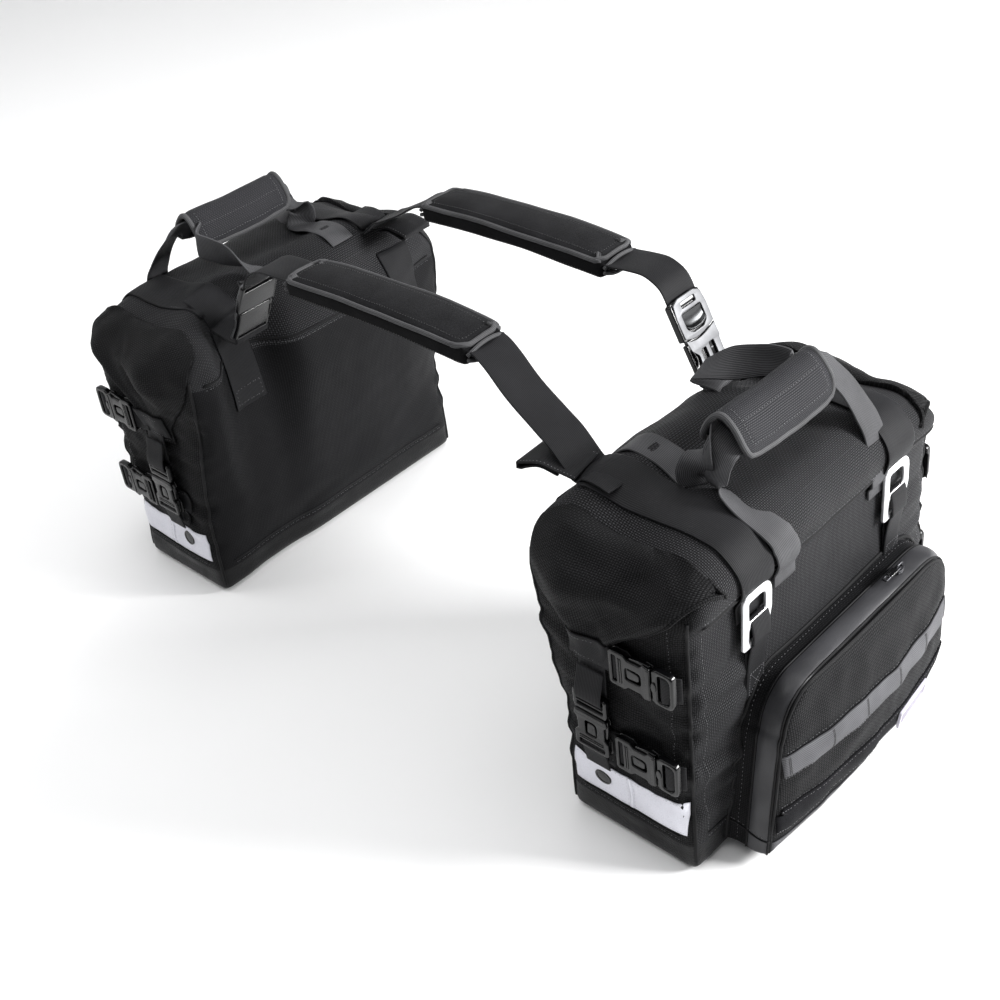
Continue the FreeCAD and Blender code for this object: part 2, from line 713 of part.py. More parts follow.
nodes = {"yoke_pads": make_yoke_pads(), "yoke_straps": make_yoke_straps()}
HALF_TURN = FreeCAD.Placement(VECTOR(), FreeCAD.Rotation(Z_AXIS, 180))
for piece_name, left in bag_pieces.items():
    right = group("right_" + piece_name, [left])
    right.Placement = HALF_TURN
    nodes["left_" + piece_name] = left
    nodes["right_" + piece_name] = right
DOC.recompute()

for node_name, thing in nodes.items():
    thing.Label = node_name
for thing in DOC.Objects:
    if "Invalid" in thing.State or "Error" in thing.State:
        raise RuntimeError("%s did not build: %s" % (thing.Name, thing.State))

os.makedirs("parts", exist_ok=True)
for node_name, thing in nodes.items():
    shape = thing.Shape
    if shape.isNull() or not shape.isValid() or not shape.Solids:
        raise RuntimeError(node_name + " has no valid solid")
    shape.exportStep("parts/%s.step" % node_name)
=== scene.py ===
import math

import bmesh
import bpy
import numpy as np
from mathutils import Matrix, Vector, noise
from mathutils.bvhtree import BVHTree


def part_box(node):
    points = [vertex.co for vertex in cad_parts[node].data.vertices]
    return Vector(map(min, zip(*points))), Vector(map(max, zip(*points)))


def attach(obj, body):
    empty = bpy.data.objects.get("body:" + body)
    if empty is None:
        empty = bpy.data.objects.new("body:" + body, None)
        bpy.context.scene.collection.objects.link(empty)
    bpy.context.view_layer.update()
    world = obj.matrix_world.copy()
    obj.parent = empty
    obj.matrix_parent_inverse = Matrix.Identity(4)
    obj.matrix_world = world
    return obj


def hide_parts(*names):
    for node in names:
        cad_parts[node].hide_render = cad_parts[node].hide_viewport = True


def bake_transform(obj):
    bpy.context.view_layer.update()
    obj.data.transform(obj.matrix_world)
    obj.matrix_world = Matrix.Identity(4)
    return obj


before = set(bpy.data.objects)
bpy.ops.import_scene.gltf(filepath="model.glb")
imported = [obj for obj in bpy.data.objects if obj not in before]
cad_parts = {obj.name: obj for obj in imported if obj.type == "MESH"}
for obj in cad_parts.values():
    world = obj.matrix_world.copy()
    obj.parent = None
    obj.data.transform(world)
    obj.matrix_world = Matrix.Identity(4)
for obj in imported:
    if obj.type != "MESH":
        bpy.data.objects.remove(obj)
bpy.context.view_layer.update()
MM = 0.001

# Every length below is in millimetres in the row frame. The left bag is modelled at its own place
# (negative Y); assemble() turns a copy of each piece half a turn about +Z for the right bag.


# ================================================================ frame dimensions

def span(node):
    """A CAD node's lowest and highest corners, in millimetres."""
    low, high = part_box(node)
    return low / MM, high / MM


SHELL_LOW, SHELL_HIGH = span("left_bag_shell")
POCKET_LOW, POCKET_HIGH = span("left_front_pocket")
PADS_LOW, PADS_HIGH = span("yoke_pads")
HOOK_LOW, HOOK_HIGH = span("left_hook_front")
GRIP_LOW, GRIP_HIGH = span("left_handle_grip")
HALF_LENGTH = SHELL_HIGH.x
FRONT = SHELL_LOW.y
BACK = SHELL_HIGH.y
MIDDLE_Y = (FRONT + BACK) / 2
HALF_DEPTH = (BACK - FRONT) / 2
SEAM = SHELL_HIGH.z
RIDGE = span("left_roll_top")[1].z
BOOT_TOP = span("left_base_boot")[1].z
STRAP_X = (HOOK_HIGH.x + HOOK_LOW.x) / -2
PAD_TOP = PADS_HIGH.z
PAD_BASE = PADS_LOW.z
PAD_END = PADS_LOW.y
PAD_WIDTH = 70
PAD_X = PADS_HIGH.x - PAD_WIDTH / 2


# ================================================================ node material helpers

class Nodes:
    """A short way to wire shader nodes."""

    def __init__(self, name):
        self.material = bpy.data.materials.new(name)
        self.material.use_nodes = True
        self.tree = self.material.node_tree
        self.tree.nodes.clear()

    def add(self, kind, **settings):
        node = self.tree.nodes.new(kind)
        for key, setting in settings.items():
            setattr(node, key, setting)
        return node

    def wire(self, source, target):
        self.tree.links.new(source, target)

    def feed(self, socket, source):
        if hasattr(source, "links"):
            self.wire(source, socket)
        elif isinstance(source, tuple) and len(source) == 3 and socket.type == "RGBA":
            socket.default_value = (*source, 1)
        else:
            socket.default_value = source

    def math(self, operation, first, second=0.0, third=0.0):
        node = self.add("ShaderNodeMath", operation=operation)
        for socket, source in zip(node.inputs, (first, second, third)):
            self.feed(socket, source)
        return node.outputs[0]

    def uv(self):
        """Surface coordinates in millimetres, along and across the cloth."""
        node = self.add("ShaderNodeSeparateXYZ")
        self.wire(self.add("ShaderNodeUVMap", uv_map="cloth_mm").outputs[0], node.inputs[0])
        return node.outputs[0], node.outputs[1]

    def position(self):
        """Object coordinates in metres."""
        return self.add("ShaderNodeTexCoord").outputs["Object"]

    def noise(self, scale, detail=3.0, roughness=0.5, vector=None, stretch=None):
        source = self.position() if vector is None else vector
        if stretch:
            mapping = self.add("ShaderNodeMapping")
            self.wire(source, mapping.inputs[0])
            mapping.inputs["Scale"].default_value = stretch
            source = mapping.outputs[0]
        node = self.add("ShaderNodeTexNoise")
        self.wire(source, node.inputs["Vector"])
        node.inputs["Scale"].default_value = scale
        node.inputs["Detail"].default_value = detail
        node.inputs["Roughness"].default_value = roughness
        return node.outputs[0]

    def mix(self, factor, first, second):
        node = self.add("ShaderNodeMix", data_type="RGBA")
        self.feed(node.inputs[0], factor)
        self.feed(node.inputs[6], first)
        self.feed(node.inputs[7], second)
        return node.outputs[2]

    def ramp(self, source, low, high, start=0.0, end=1.0):
        node = self.add("ShaderNodeMapRange")
        for socket, setting in zip(node.inputs, (source, start, end, low, high)):
            self.feed(socket, setting)
        return node.outputs[0]

    def bump(self, height, distance, strength=1.0, normal=None):
        node = self.add("ShaderNodeBump")
        node.inputs["Strength"].default_value = strength
        node.inputs["Distance"].default_value = distance
        self.wire(height, node.inputs["Height"])
        if normal is not None:
            self.wire(normal, node.inputs["Normal"])
        return node.outputs[0]

    def surface(self, colour, roughness, metallic=0.0, normal=None, sheen=0.0, coat=0.0, specular=0.5,
                anisotropic=0.0):
        shader = self.add("ShaderNodeBsdfPrincipled")
        self.feed(shader.inputs["Base Color"], colour)
        self.feed(shader.inputs["Roughness"], roughness)
        self.feed(shader.inputs["Metallic"], metallic)
        self.feed(shader.inputs["Specular IOR Level"], specular)
        shader.inputs["Sheen Weight"].default_value = sheen
        shader.inputs["Sheen Roughness"].default_value = 0.5
        shader.inputs["Coat Weight"].default_value = coat
        shader.inputs["Coat Roughness"].default_value = 0.15
        shader.inputs["Anisotropic"].default_value = anisotropic
        if normal is not None:
            self.wire(normal, shader.inputs["Normal"])
        output = self.add("ShaderNodeOutputMaterial")
        self.wire(shader.outputs[0], output.inputs[0])
        return self.material


# ================================================================ materials

def basket_weave(nodes, pitch):
    """Height and thread direction of a plain weave: (height 0-1, 1 where the lengthwise thread is on top)."""
    along, across = nodes.uv()
    across_cell = nodes.math("DIVIDE", across, pitch)
    along_cell = nodes.math("DIVIDE", along, pitch)
    parity = nodes.math("ADD", nodes.math("FLOOR", across_cell), nodes.math("FLOOR", along_cell))
    over = nodes.math("PINGPONG", parity, 1.0)
    profiles = []
    for cell in (along_cell, across_cell):
        centred = nodes.math("SUBTRACT", nodes.math("FRACT", cell), 0.5)
        square = nodes.math("MULTIPLY", centred, centred)
        profiles.append(nodes.math("MULTIPLY_ADD", square, -4.0, 1.0))
    lengthwise = nodes.math("MULTIPLY", profiles[1], nodes.math("MULTIPLY_ADD", profiles[0], 0.5, 0.5))
    crosswise = nodes.math("MULTIPLY", profiles[0], nodes.math("MULTIPLY_ADD", profiles[1], 0.5, 0.5))
    first = nodes.math("MULTIPLY", lengthwise, over)
    second = nodes.math("MULTIPLY", crosswise, nodes.math("SUBTRACT", 1.0, over))
    return nodes.math("ADD", first, second), over


def woven(name, pitch, dark, light, roughness=0.6, relief=0.35, sheen=0.008, worn=0.25):
    """Ballistic cloth: two thread directions, dusty worn patches and a soft sheen. Thread crowns are painted
    lighter and the gaps between them darker, a painted highlight and shade, and the lengthwise threads are
    painted brighter still, a painted sheen.
    """
    nodes = Nodes(name)
    height, over = basket_weave(nodes, pitch)
    # Painted highlight and shade: thread crowns are painted lighter and the gaps darker, and the lengthwise
    # threads on top are painted brighter as a painted sheen.
    thread = nodes.math("MULTIPLY", nodes.math("POWER", height, 2.2),
                        nodes.math("MULTIPLY_ADD", over, 0.45, 0.55))
    colour = nodes.mix(thread, dark, light)
    patches = nodes.ramp(nodes.noise(9.0, 4.0), 0.0, worn, 0.42, 0.75)
    faded = nodes.mix(nodes.math("MULTIPLY", patches, height), colour, tuple(1.9 * c for c in light))
    shade = nodes.ramp(nodes.noise(4.0, 3.0), 0.82, 1.12, 0.3, 0.7)
    toned = nodes.add("ShaderNodeVectorMath", operation="SCALE")
    nodes.wire(faded, toned.inputs[0])
    nodes.wire(shade, toned.inputs["Scale"])
    fuzz = nodes.bump(nodes.noise(1400.0, 2.0), 0.0001, 0.5)
    normal = nodes.bump(height, relief * MM, 1.0, fuzz)
    rough = nodes.ramp(height, roughness + 0.18, roughness - 0.1)
    return nodes.surface(toned.outputs[0], rough, normal=normal, sheen=sheen, specular=0.1)


def ribbed(name, dark, light, rib=1.9, pick=1.3, roughness=0.6, relief=0.3, sheen=0.01):
    """Webbing: lengthwise ribs crossed by fine picks, with a firmer selvedge. The rib crests are painted
    lighter and the grooves darker, a painted highlight and shade.
    """
    nodes = Nodes(name)
    along, across = nodes.uv()
    rib_wave = nodes.math("SINE", nodes.math("MULTIPLY", across, 2 * math.pi / rib))
    shifted = nodes.math("MULTIPLY_ADD", rib_wave, 0.35, nodes.math("DIVIDE", along, pick))
    pick_wave = nodes.math("SINE", nodes.math("MULTIPLY", shifted, 2 * math.pi))
    height = nodes.math("MULTIPLY_ADD", nodes.math("MULTIPLY_ADD", pick_wave, 0.25, rib_wave), 0.35, 0.5)
    # Painted highlight and shade: the rib crests are painted lighter and the grooves darker.
    colour = nodes.mix(height, dark, light)
    grime = nodes.ramp(nodes.noise(22.0, 4.0), 0.8, 1.2, 0.3, 0.7)
    toned = nodes.add("ShaderNodeVectorMath", operation="SCALE")
    nodes.wire(colour, toned.inputs[0])
    nodes.wire(grime, toned.inputs["Scale"])
    normal = nodes.bump(height, relief * MM)
    return nodes.surface(toned.outputs[0], roughness, normal=normal, sheen=sheen, specular=0.14)


def coated(name, colour, roughness, grain=260.0, relief=0.12, specular=0.5, coat=0.0, streak=None):
    """Coated or moulded sheet: fine leathery grain and uneven gloss."""
    nodes = Nodes(name)
    pores = nodes.add("ShaderNodeTexVoronoi", feature="DISTANCE_TO_EDGE")
    nodes.wire(nodes.position(), pores.inputs["Vector"])
    pores.inputs["Scale"].default_value = grain
    cells = nodes.ramp(pores.outputs["Distance"], 0.0, 1.0, 0.0, 0.25)
    gloss = nodes.noise(30.0, 4.0, stretch=streak)
    rough = nodes.ramp(gloss, roughness - 0.1, roughness + 0.12, 0.3, 0.7)
    tint = nodes.mix(nodes.ramp(nodes.noise(14.0, 4.0), 0.0, 1.0, 0.3, 0.7),
                     tuple(0.75 * c for c in colour), tuple(min(1.0, 1.3 * c) for c in colour))
    return nodes.surface(tint, rough, normal=nodes.bump(cells, relief * MM), specular=specular, coat=coat)


def brushed(name, colour, roughness, stretch, metallic=1.0):
    """Metal with fine brushing along one direction and faint handling marks."""
    nodes = Nodes(name)
    lines = nodes.noise(900.0, 3.0, 0.6, stretch=stretch)
    smear = nodes.noise(40.0, 4.0)
    rough = nodes.math("ADD", nodes.ramp(lines, roughness - 0.06, roughness + 0.1),
                       nodes.ramp(smear, -0.04, 0.08, 0.3, 0.7))
    tint = nodes.mix(lines, tuple(0.86 * c for c in colour), colour)
    return nodes.surface(tint, rough, metallic=metallic, normal=nodes.bump(lines, 0.02 * MM, 0.6))


def felt(name, dark, light):
    """Short brushed pile with tangled light fibres."""
    nodes = Nodes(name)
    fibres = nodes.noise(1500.0, 5.0, 0.7)
    tangle = nodes.noise(320.0, 4.0, 0.65)
    colour = nodes.mix(nodes.ramp(fibres, 0.0, 1.0, 0.35, 0.7), dark, light)
    broad = nodes.ramp(nodes.noise(26.0, 4.0), 0.8, 1.25, 0.3, 0.7)
    toned = nodes.add("ShaderNodeVectorMath", operation="SCALE")
    nodes.wire(colour, toned.inputs[0])
    nodes.wire(broad, toned.inputs["Scale"])
    normal = nodes.bump(tangle, 0.5 * MM, 0.8, nodes.bump(fibres, 0.25 * MM))
    return nodes.surface(toned.outputs[0], 0.95, normal=normal, sheen=0.02, specular=0.05)


def reflector(name):
    """Silver retroreflective tape: fine honeycomb cells under a satin film."""
    nodes = Nodes(name)
    along, across = nodes.uv()
    place = nodes.add("ShaderNodeCombineXYZ")
    nodes.wire(along, place.inputs[0])
    nodes.wire(across, place.inputs[1])
    cells = nodes.add("ShaderNodeTexVoronoi", feature="DISTANCE_TO_EDGE")
    nodes.wire(place.outputs[0], cells.inputs["Vector"])
    cells.inputs["Scale"].default_value = 0.45
    edge = nodes.ramp(cells.outputs["Distance"], 1.0, 0.0, 0.0, 0.06)
    soil = nodes.ramp(nodes.noise(30.0, 5.0), 0.0, 0.35, 0.45, 0.8)
    colour = nodes.mix(edge, (0.72, 0.72, 0.78), (0.6, 0.6, 0.66))
    colour = nodes.mix(soil, colour, (0.5, 0.5, 0.55))
    return nodes.surface(colour, 0.42, metallic=0.25, normal=nodes.bump(edge, -0.05 * MM), specular=0.6)


def thread(name, colour):
    """Twisted sewing thread."""
    nodes = Nodes(name)
    twist = nodes.noise(2500.0, 2.0)
    tint = nodes.mix(twist, tuple(0.7 * c for c in colour), colour)
    return nodes.surface(tint, 0.7, normal=nodes.bump(twist, 0.05 * MM), sheen=0.3, specular=0.3)


CLOTH = {
    "smooth": woven("fine_nylon", 2.3, (0.001, 0.001, 0.0012), (0.053, 0.053, 0.057), relief=0.55, worn=0.05),
    "panel": woven("pocket_nylon", 2.6, (0.001, 0.001, 0.0012), (0.02, 0.02, 0.022), relief=0.45, worn=0.04),
    "coarse": woven("ballistic_nylon", 2.7, (0.0008, 0.0008, 0.001), (0.018, 0.018, 0.0195), relief=0.6,
                    worn=0.05),
    "dark": woven("gusset_nylon", 2.4, (0.001, 0.001, 0.0012), (0.014, 0.014, 0.016), relief=0.3, worn=0.04),
    "grip": woven("grip_nylon", 1.6, (0.004, 0.004, 0.005), (0.062, 0.062, 0.068), relief=0.3, worn=0.08),
    "webbing": ribbed("black_webbing", (0.001, 0.001, 0.0012), (0.016, 0.016, 0.018)),
    "handle": ribbed("handle_webbing", (0.008, 0.008, 0.009), (0.095, 0.095, 0.1)),
    "grey": ribbed("grey_webbing", (0.035, 0.035, 0.038), (0.12, 0.12, 0.128), rib=2.2, pick=1.5),
    "binding": ribbed("edge_binding", (0.02, 0.02, 0.021), (0.1, 0.1, 0.104), rib=1.6, pick=1.2),
    "piping": ribbed("black_piping", (0.001, 0.001, 0.0012), (0.01, 0.01, 0.011), rib=1.4, pick=1.1),
    "loop": felt("hook_and_loop", (0.002, 0.002, 0.0025), (0.02, 0.02, 0.022)),
    "felt": felt("pad_felt", (0.001, 0.001, 0.0012), (0.024, 0.024, 0.026)),
    "side": felt("pad_side_foam", (0.001, 0.001, 0.001), (0.01, 0.01, 0.011)),
    "boot": coated("coated_tarpaulin", (0.003, 0.003, 0.0035), 0.42, relief=0.15, specular=0.2),
    "zip": coated("coated_zip_tape", (0.03, 0.03, 0.033), 0.44, grain=420.0, relief=0.05, specular=0.3),
    "plastic": coated("black_acetal", (0.002, 0.002, 0.0024), 0.2, grain=700.0, relief=0.02, specular=0.35),
    "badge": coated("blank_patch", (0.17, 0.15, 0.2), 0.35, grain=300.0, relief=0.04, coat=0.2),
    "badge_rim": coated("patch_rim", (0.6, 0.58, 0.66), 0.35, grain=300.0, relief=0.03),
    "reflector": reflector("reflective_tape"),
    "hook": brushed("satin_aluminium", (0.88, 0.885, 0.9), 0.34, (1.0, 1.0, 30.0), metallic=0.75),
    "latch": brushed("brushed_latch_metal", (0.1, 0.101, 0.105), 0.46, (1.0, 25.0, 25.0), metallic=0.9),
    "polished": brushed("polished_lever", (0.035, 0.036, 0.037), 0.24, (1.0, 6.0, 6.0)),
    "zip_metal": brushed("black_zip_metal", (0.05, 0.05, 0.055), 0.35, (1.0, 1.0, 1.0), metallic=0.8),
    "white_thread": thread("light_thread", (0.62, 0.62, 0.66)),
    "grey_thread": thread("grey_thread", (0.16, 0.16, 0.17)),
    "black_thread": thread("dark_thread", (0.03, 0.03, 0.032)),
}


# ================================================================ mesh helpers

def mesh_object(name, points, faces, cloth, uv=None, face_cloth=None, smooth=True):
    """An object from points in millimetres. uv holds an (along, across) pair in millimetres per corner."""
    mesh = bpy.data.meshes.new(name)
    mesh.from_pydata([tuple(MM * c for c in point) for point in points], [], faces)
    names = list(cloth) if isinstance(cloth, (list, tuple)) else [cloth]
    for item in names:
        mesh.materials.append(CLOTH[item])
    if face_cloth is not None:
        mesh.polygons.foreach_set("material_index", face_cloth)
    layer = mesh.uv_layers.new(name="cloth_mm")
    if uv is not None:
        layer.data.foreach_set("uv", np.array(uv, float).ravel())
    mesh.polygons.foreach_set("use_smooth", [smooth] * len(mesh.polygons))
    mesh.update()
    thing = bpy.data.objects.new(name, mesh)
    bpy.context.scene.collection.objects.link(thing)
    if uv is None:
        box_uv(thing)
    return thing


def box_uv(thing):
    """Project the cloth onto each face from its main direction, in millimetres."""
    mesh = thing.data
    layer = mesh.uv_layers.get("cloth_mm") or mesh.uv_layers.new(name="cloth_mm")
    count = len(mesh.vertices)
    points = np.zeros(count * 3)
    mesh.vertices.foreach_get("co", points)
    points = points.reshape(-1, 3) / MM
    uv = np.zeros((len(mesh.loops), 2))
    for face in mesh.polygons:
        main = max(range(3), key=lambda axis: abs(face.normal[axis]))
        first, second = ((1, 2), (0, 2), (0, 1))[main]
        for loop in face.loop_indices:
            point = points[mesh.loops[loop].vertex_index]
            uv[loop] = (point[second], point[first])
    layer.data.foreach_set("uv", uv.ravel())


def subdivided(thing):
    """Add one level of subdivision and apply it straight away."""
    modifier = thing.modifiers.new("subsurf", "SUBSURF")
    modifier.levels = 1
    modifier.render_levels = 1
    apply_modifiers(thing)


def apply_modifiers(thing):
    graph = bpy.context.evaluated_depsgraph_get()
    mesh = bpy.data.meshes.new_from_object(thing.evaluated_get(graph), preserve_all_data_layers=True,
                                           depsgraph=graph)
    old = thing.data
    thing.modifiers.clear()
    thing.data = mesh
    bpy.data.meshes.remove(old)


def lengths_along(points):
    """The running length at each point of a path."""
    lengths = [0.0]
    for start, end in zip(points, points[1:]):
        lengths.append(lengths[-1] + (end - start).length)
    return lengths


def spline(control, index, t):
    """The smooth curve through the control points, a share t past the one at index."""
    last = len(control) - 1
    before, start = control[max(index - 1, 0)], control[index]
    end, after = control[index + 1], control[min(index + 2, last)]
    return 0.5 * ((2 * start) + (end - before) * t + (2 * before - 5 * start + 4 * end - after) * t * t
                  + (3 * start - before - 3 * end + after) * t ** 3)


def resample(path, step):
    """A smooth curve through the points of a path, at even steps."""
    control = [Vector(point) for point in path]
    fine = [spline(control, index, part / 16) for index in range(len(control) - 1) for part in range(16)]
    fine.append(control[-1])
    lengths = lengths_along(fine)
    count = max(2, round(lengths[-1] / step))
    out = []
    index = 0
    for number in range(count + 1):
        goal = lengths[-1] * number / count
        while index < len(fine) - 2 and lengths[index + 1] < goal:
            index += 1
        run = lengths[index + 1] - lengths[index]
        share = (goal - lengths[index]) / run if run > 1e-9 else 0.0
        out.append(fine[index].lerp(fine[index + 1], min(1.0, share)))
    return out


def tangents(points, closed=False):
    """Unit directions along a list of points."""
    out = []
    count = len(points)
    for index in range(count):
        before = points[(index - 1) % count] if closed else points[max(index - 1, 0)]
        after = points[(index + 1) % count] if closed else points[min(index + 1, count - 1)]
        out.append((after - before).normalized())
    return out


def loft(name, rings, cloth, closed_path=False, caps=True, along=None, around=None):
    """Join rings of equal point count into a tube. along and around place the weave, in millimetres."""
    ring_size = len(rings[0])
    points = [point for ring in rings for point in ring]
    faces, uv = [], []
    steps = len(rings) if closed_path else len(rings) - 1
    if along is None:
        along = [0.0]
        for first, second in zip(rings, rings[1:] + rings[:1]):
            along.append(along[-1] + (Vector(second[0]) - Vector(first[0])).length)
    if around is None:
        around = [0.0]
        for first, second in zip(rings[0], list(rings[0][1:]) + [rings[0][0]]):
            around.append(around[-1] + (Vector(second) - Vector(first)).length)
    for ring in range(steps):
        following = (ring + 1) % len(rings)
        for side in range(ring_size):
            beside = (side + 1) % ring_size
            faces.append((ring * ring_size + side, ring * ring_size + beside,
                          following * ring_size + beside, following * ring_size + side))
            uv += [(along[ring], around[side]), (along[ring], around[side + 1]),
                   (along[ring + 1], around[side + 1]), (along[ring + 1], around[side])]
    if caps and not closed_path:
        for ring, order in ((0, -1), (len(rings) - 1, 1)):
            face = [ring * ring_size + side for side in range(ring_size)][::order]
            faces.append(tuple(face))
            uv += [(points[corner][0], points[corner][2]) for corner in face]
    return mesh_object(name, points, faces, cloth, uv)


WEB_SHARES = (-0.5, -0.47, -0.3, -0.1, 0.1, 0.3, 0.47, 0.5)
SELVEDGE = 0.49


def web_loft(name, rings, lengths, width, cloth):
    """A strip of webbing from rings that run over its face and back under it."""
    flat = [share * width for share in WEB_SHARES]
    return loft(name, rings, cloth, along=lengths, around=flat + flat[::-1] + [flat[0]])


def web_ways(points, ways):
    """At each point of a strip: the point, its width direction and the normal of its face."""
    for index, (point, along) in enumerate(zip(points, tangents(points))):
        place = index / (len(points) - 1) * (len(ways) - 1)
        first = min(int(place), len(ways) - 1)
        second = min(first + 1, len(ways) - 1)
        way = Vector(ways[first]).lerp(Vector(ways[second]), place - first)
        way = (way - along * way.dot(along)).normalized()
        yield point, way, way.cross(along).normalized()


def ribbon(name, path, ways, width, thickness=2.2, cloth="webbing", step=5.0, crown=0.0):
    """Flat webbing along a path. ways holds width directions, spread evenly over the path."""
    points = resample(path, step)
    rings = []
    for point, way, normal in web_ways(points, ways):
        over, under = [], []
        for share in WEB_SHARES:
            half = thickness * (0.5 if abs(share) < SELVEDGE else 0.28)
            bow = crown * (1 - 4 * share * share)
            over.append(point + way * share * width + normal * (half + bow))
            under.append(point + way * share * width - normal * (half - bow))
        rings.append(over + under[::-1])
    return web_loft(name, rings, lengths_along(points), width, cloth)


def cord(name, path, radius, cloth, closed=False, sides=8, step=4.0, flat=1.0, smooth_path=True):
    """A round or flattened tube along a path: piping, binding, folded edges."""
    points = resample(path, step) if smooth_path else [Vector(point) for point in path]
    directions = tangents(points, closed)
    side = directions[0].orthogonal().normalized()
    rings = []
    for point, along in zip(points, directions):
        side = (side - along * side.dot(along)).normalized()
        other = along.cross(side)
        rings.append([point + side * radius * math.cos(2 * math.pi * k / sides)
                      + other * radius * flat * math.sin(2 * math.pi * k / sides) for k in range(sides)])
    return loft(name, rings, cloth, closed_path=closed)


def stitches(name, runs, cloth="grey_thread", pitch=3.4, length=2.5, radius=0.38, lift=0.15):
    """Rows of raised stitches. Each run is a list of (point, normal) pairs in millimetres."""
    points, faces = [], []
    for run in runs:
        places = [Vector(place) for place, _ in run]
        normals = [Vector(normal) for _, normal in run]
        carried = 0.0
        for index in range(len(places) - 1):
            leg = places[index + 1] - places[index]
            reach = leg.length
            if reach < 1e-6:
                continue
            along = leg / reach
            while carried + length <= reach:
                normal = normals[index].lerp(normals[index + 1], carried / reach).normalized()
                middle = places[index] + along * (carried + length / 2) + normal * lift
                across = along.cross(normal).normalized()
                base = len(points)
                points.append(middle - along * length / 2 - normal * radius)
                points.append(middle + along * length / 2 - normal * radius)
                for k in range(5):
                    angle = 2 * math.pi * k / 5
                    points.append(middle + across * radius * math.cos(angle)
                                  + normal * radius * math.sin(angle))
                for k in range(5):
                    here, beside = base + 2 + k, base + 2 + (k + 1) % 5
                    faces.append((base, beside, here))
                    faces.append((base + 1, here, beside))
                carried += pitch
            carried -= reach
            carried = max(carried, 0.0)
    return mesh_object(name, points, faces, cloth)


def closed_sheet(name, front, back, cloth, place, flip=False):
    """Two grids of points joined round their rim. place(row, column) gives the cloth position in millimetres.

    Returns the sheet and its rim as (front point, back point) pairs.
    """
    down, across = len(front) - 1, len(front[0]) - 1
    width = across + 1
    points = [point for grid in (front, back) for line in grid for point in line]
    base = (down + 1) * width
    faces, uv = [], []

    def add(*corners):
        faces.append(corners[::-1] if flip else corners)
        uv.extend(place(*divmod(index % base, width)) for index in faces[-1])

    for row in range(down):
        for column in range(across):
            a = row * width + column
            c = a + width
            add(a, a + 1, c + 1, c)
            add(base + c, base + c + 1, base + a + 1, base + a)
    rim = list(range(across)) + [row * width + across for row in range(down)]
    rim += ([down * width + across - column for column in range(across)]
            + [(down - row) * width for row in range(down)])
    for a, b in zip(rim, rim[1:] + rim[:1]):
        add(b, a, base + a, base + b)
    return mesh_object(name, points, faces, cloth, uv), [(points[a], points[base + a]) for a in rim]


def soft_box(name, counts, shape, cloths, pick_cloth, size):
    """A closed quad box whose surface points pass through shape(a, b, c) with a, b, c from -1 to 1.

    pick_cloth(side, c) names the index of a face's cloth; side is one of -x +x -y +y -z +z.
    """
    nx, ny, nz = counts
    index_of, points = {}, []

    def vertex(i, j, k):
        key = (i, j, k)
        if key not in index_of:
            index_of[key] = len(points)
            points.append(shape(2 * i / nx - 1, 2 * j / ny - 1, 2 * k / nz - 1))
        return index_of[key]

    faces, uv, cloth_index = [], [], []

    def add(corners, side, flat):
        faces.append(tuple(vertex(*corner) for corner in corners))
        middle_height = sum(corner[2] for corner in corners) / 4
        cloth_index.append(pick_cloth(side, 2 * middle_height / nz - 1))
        for corner in corners:
            place = [corner[axis] / counts[axis] * size[axis] for axis in range(3)]
            uv.append((place[flat[1]], place[flat[0]]))

    for j in range(ny):
        for k in range(nz):
            add([(0, j, k), (0, j, k + 1), (0, j + 1, k + 1), (0, j + 1, k)], "-x", (1, 2))
            add([(nx, j, k), (nx, j + 1, k), (nx, j + 1, k + 1), (nx, j, k + 1)], "+x", (1, 2))
    for i in range(nx):
        for k in range(nz):
            add([(i, 0, k), (i + 1, 0, k), (i + 1, 0, k + 1), (i, 0, k + 1)], "-y", (0, 2))
            add([(i, ny, k), (i, ny, k + 1), (i + 1, ny, k + 1), (i + 1, ny, k)], "+y", (0, 2))
    for i in range(nx):
        for j in range(ny):
            add([(i, j, 0), (i, j + 1, 0), (i + 1, j + 1, 0), (i + 1, j, 0)], "-z", (0, 1))
            add([(i, j, nz), (i + 1, j, nz), (i + 1, j + 1, nz), (i, j + 1, nz)], "+z", (0, 1))
    return mesh_object(name, points, faces, cloths, uv, cloth_index)


def vertices_mm(thing):
    points = np.zeros(len(thing.data.vertices) * 3)
    thing.data.vertices.foreach_get("co", points)
    return points.reshape(-1, 3) / MM


def set_vertices_mm(thing, points):
    thing.data.vertices.foreach_set("co", (np.asarray(points) * MM).ravel())
    thing.data.update()


def inflate(thing, pressure, cap, pinned=None, frames=20, stiffness=12.0, share=None):
    """Fill a closed soft form by cloth simulation. No point moves further than cap millimetres."""
    before = vertices_mm(thing)
    cloth = thing.modifiers.new("fill", "CLOTH")
    settings = cloth.settings
    settings.quality = 5
    settings.mass = 0.3
    settings.tension_stiffness = stiffness
    settings.compression_stiffness = stiffness
    settings.shear_stiffness = 4.0
    settings.bending_stiffness = 0.6
    settings.use_pressure = True
    settings.uniform_pressure_force = pressure
    settings.effector_weights.gravity = 0
    cloth.point_cache.frame_start = 1
    cloth.point_cache.frame_end = frames
    if pinned is not None:
        group = thing.vertex_groups.new(name="seams")
        for index in np.nonzero(pinned)[0]:
            group.add([int(index)], 1.0, "REPLACE")
        settings.vertex_group_mass = "seams"
    for number in range(1, frames + 1):
        bpy.context.scene.frame_set(number)
    apply_modifiers(thing)
    bpy.context.scene.frame_set(1)
    thing.vertex_groups.clear()
    after = vertices_mm(thing)
    move = after - before
    reach = np.linalg.norm(move, axis=1, keepdims=True)
    move *= np.minimum(1.0, cap / np.maximum(reach, 1e-9))
    if share is not None:
        move *= np.array([share(point) for point in before])[:, None]
    set_vertices_mm(thing, before + move)
    return thing


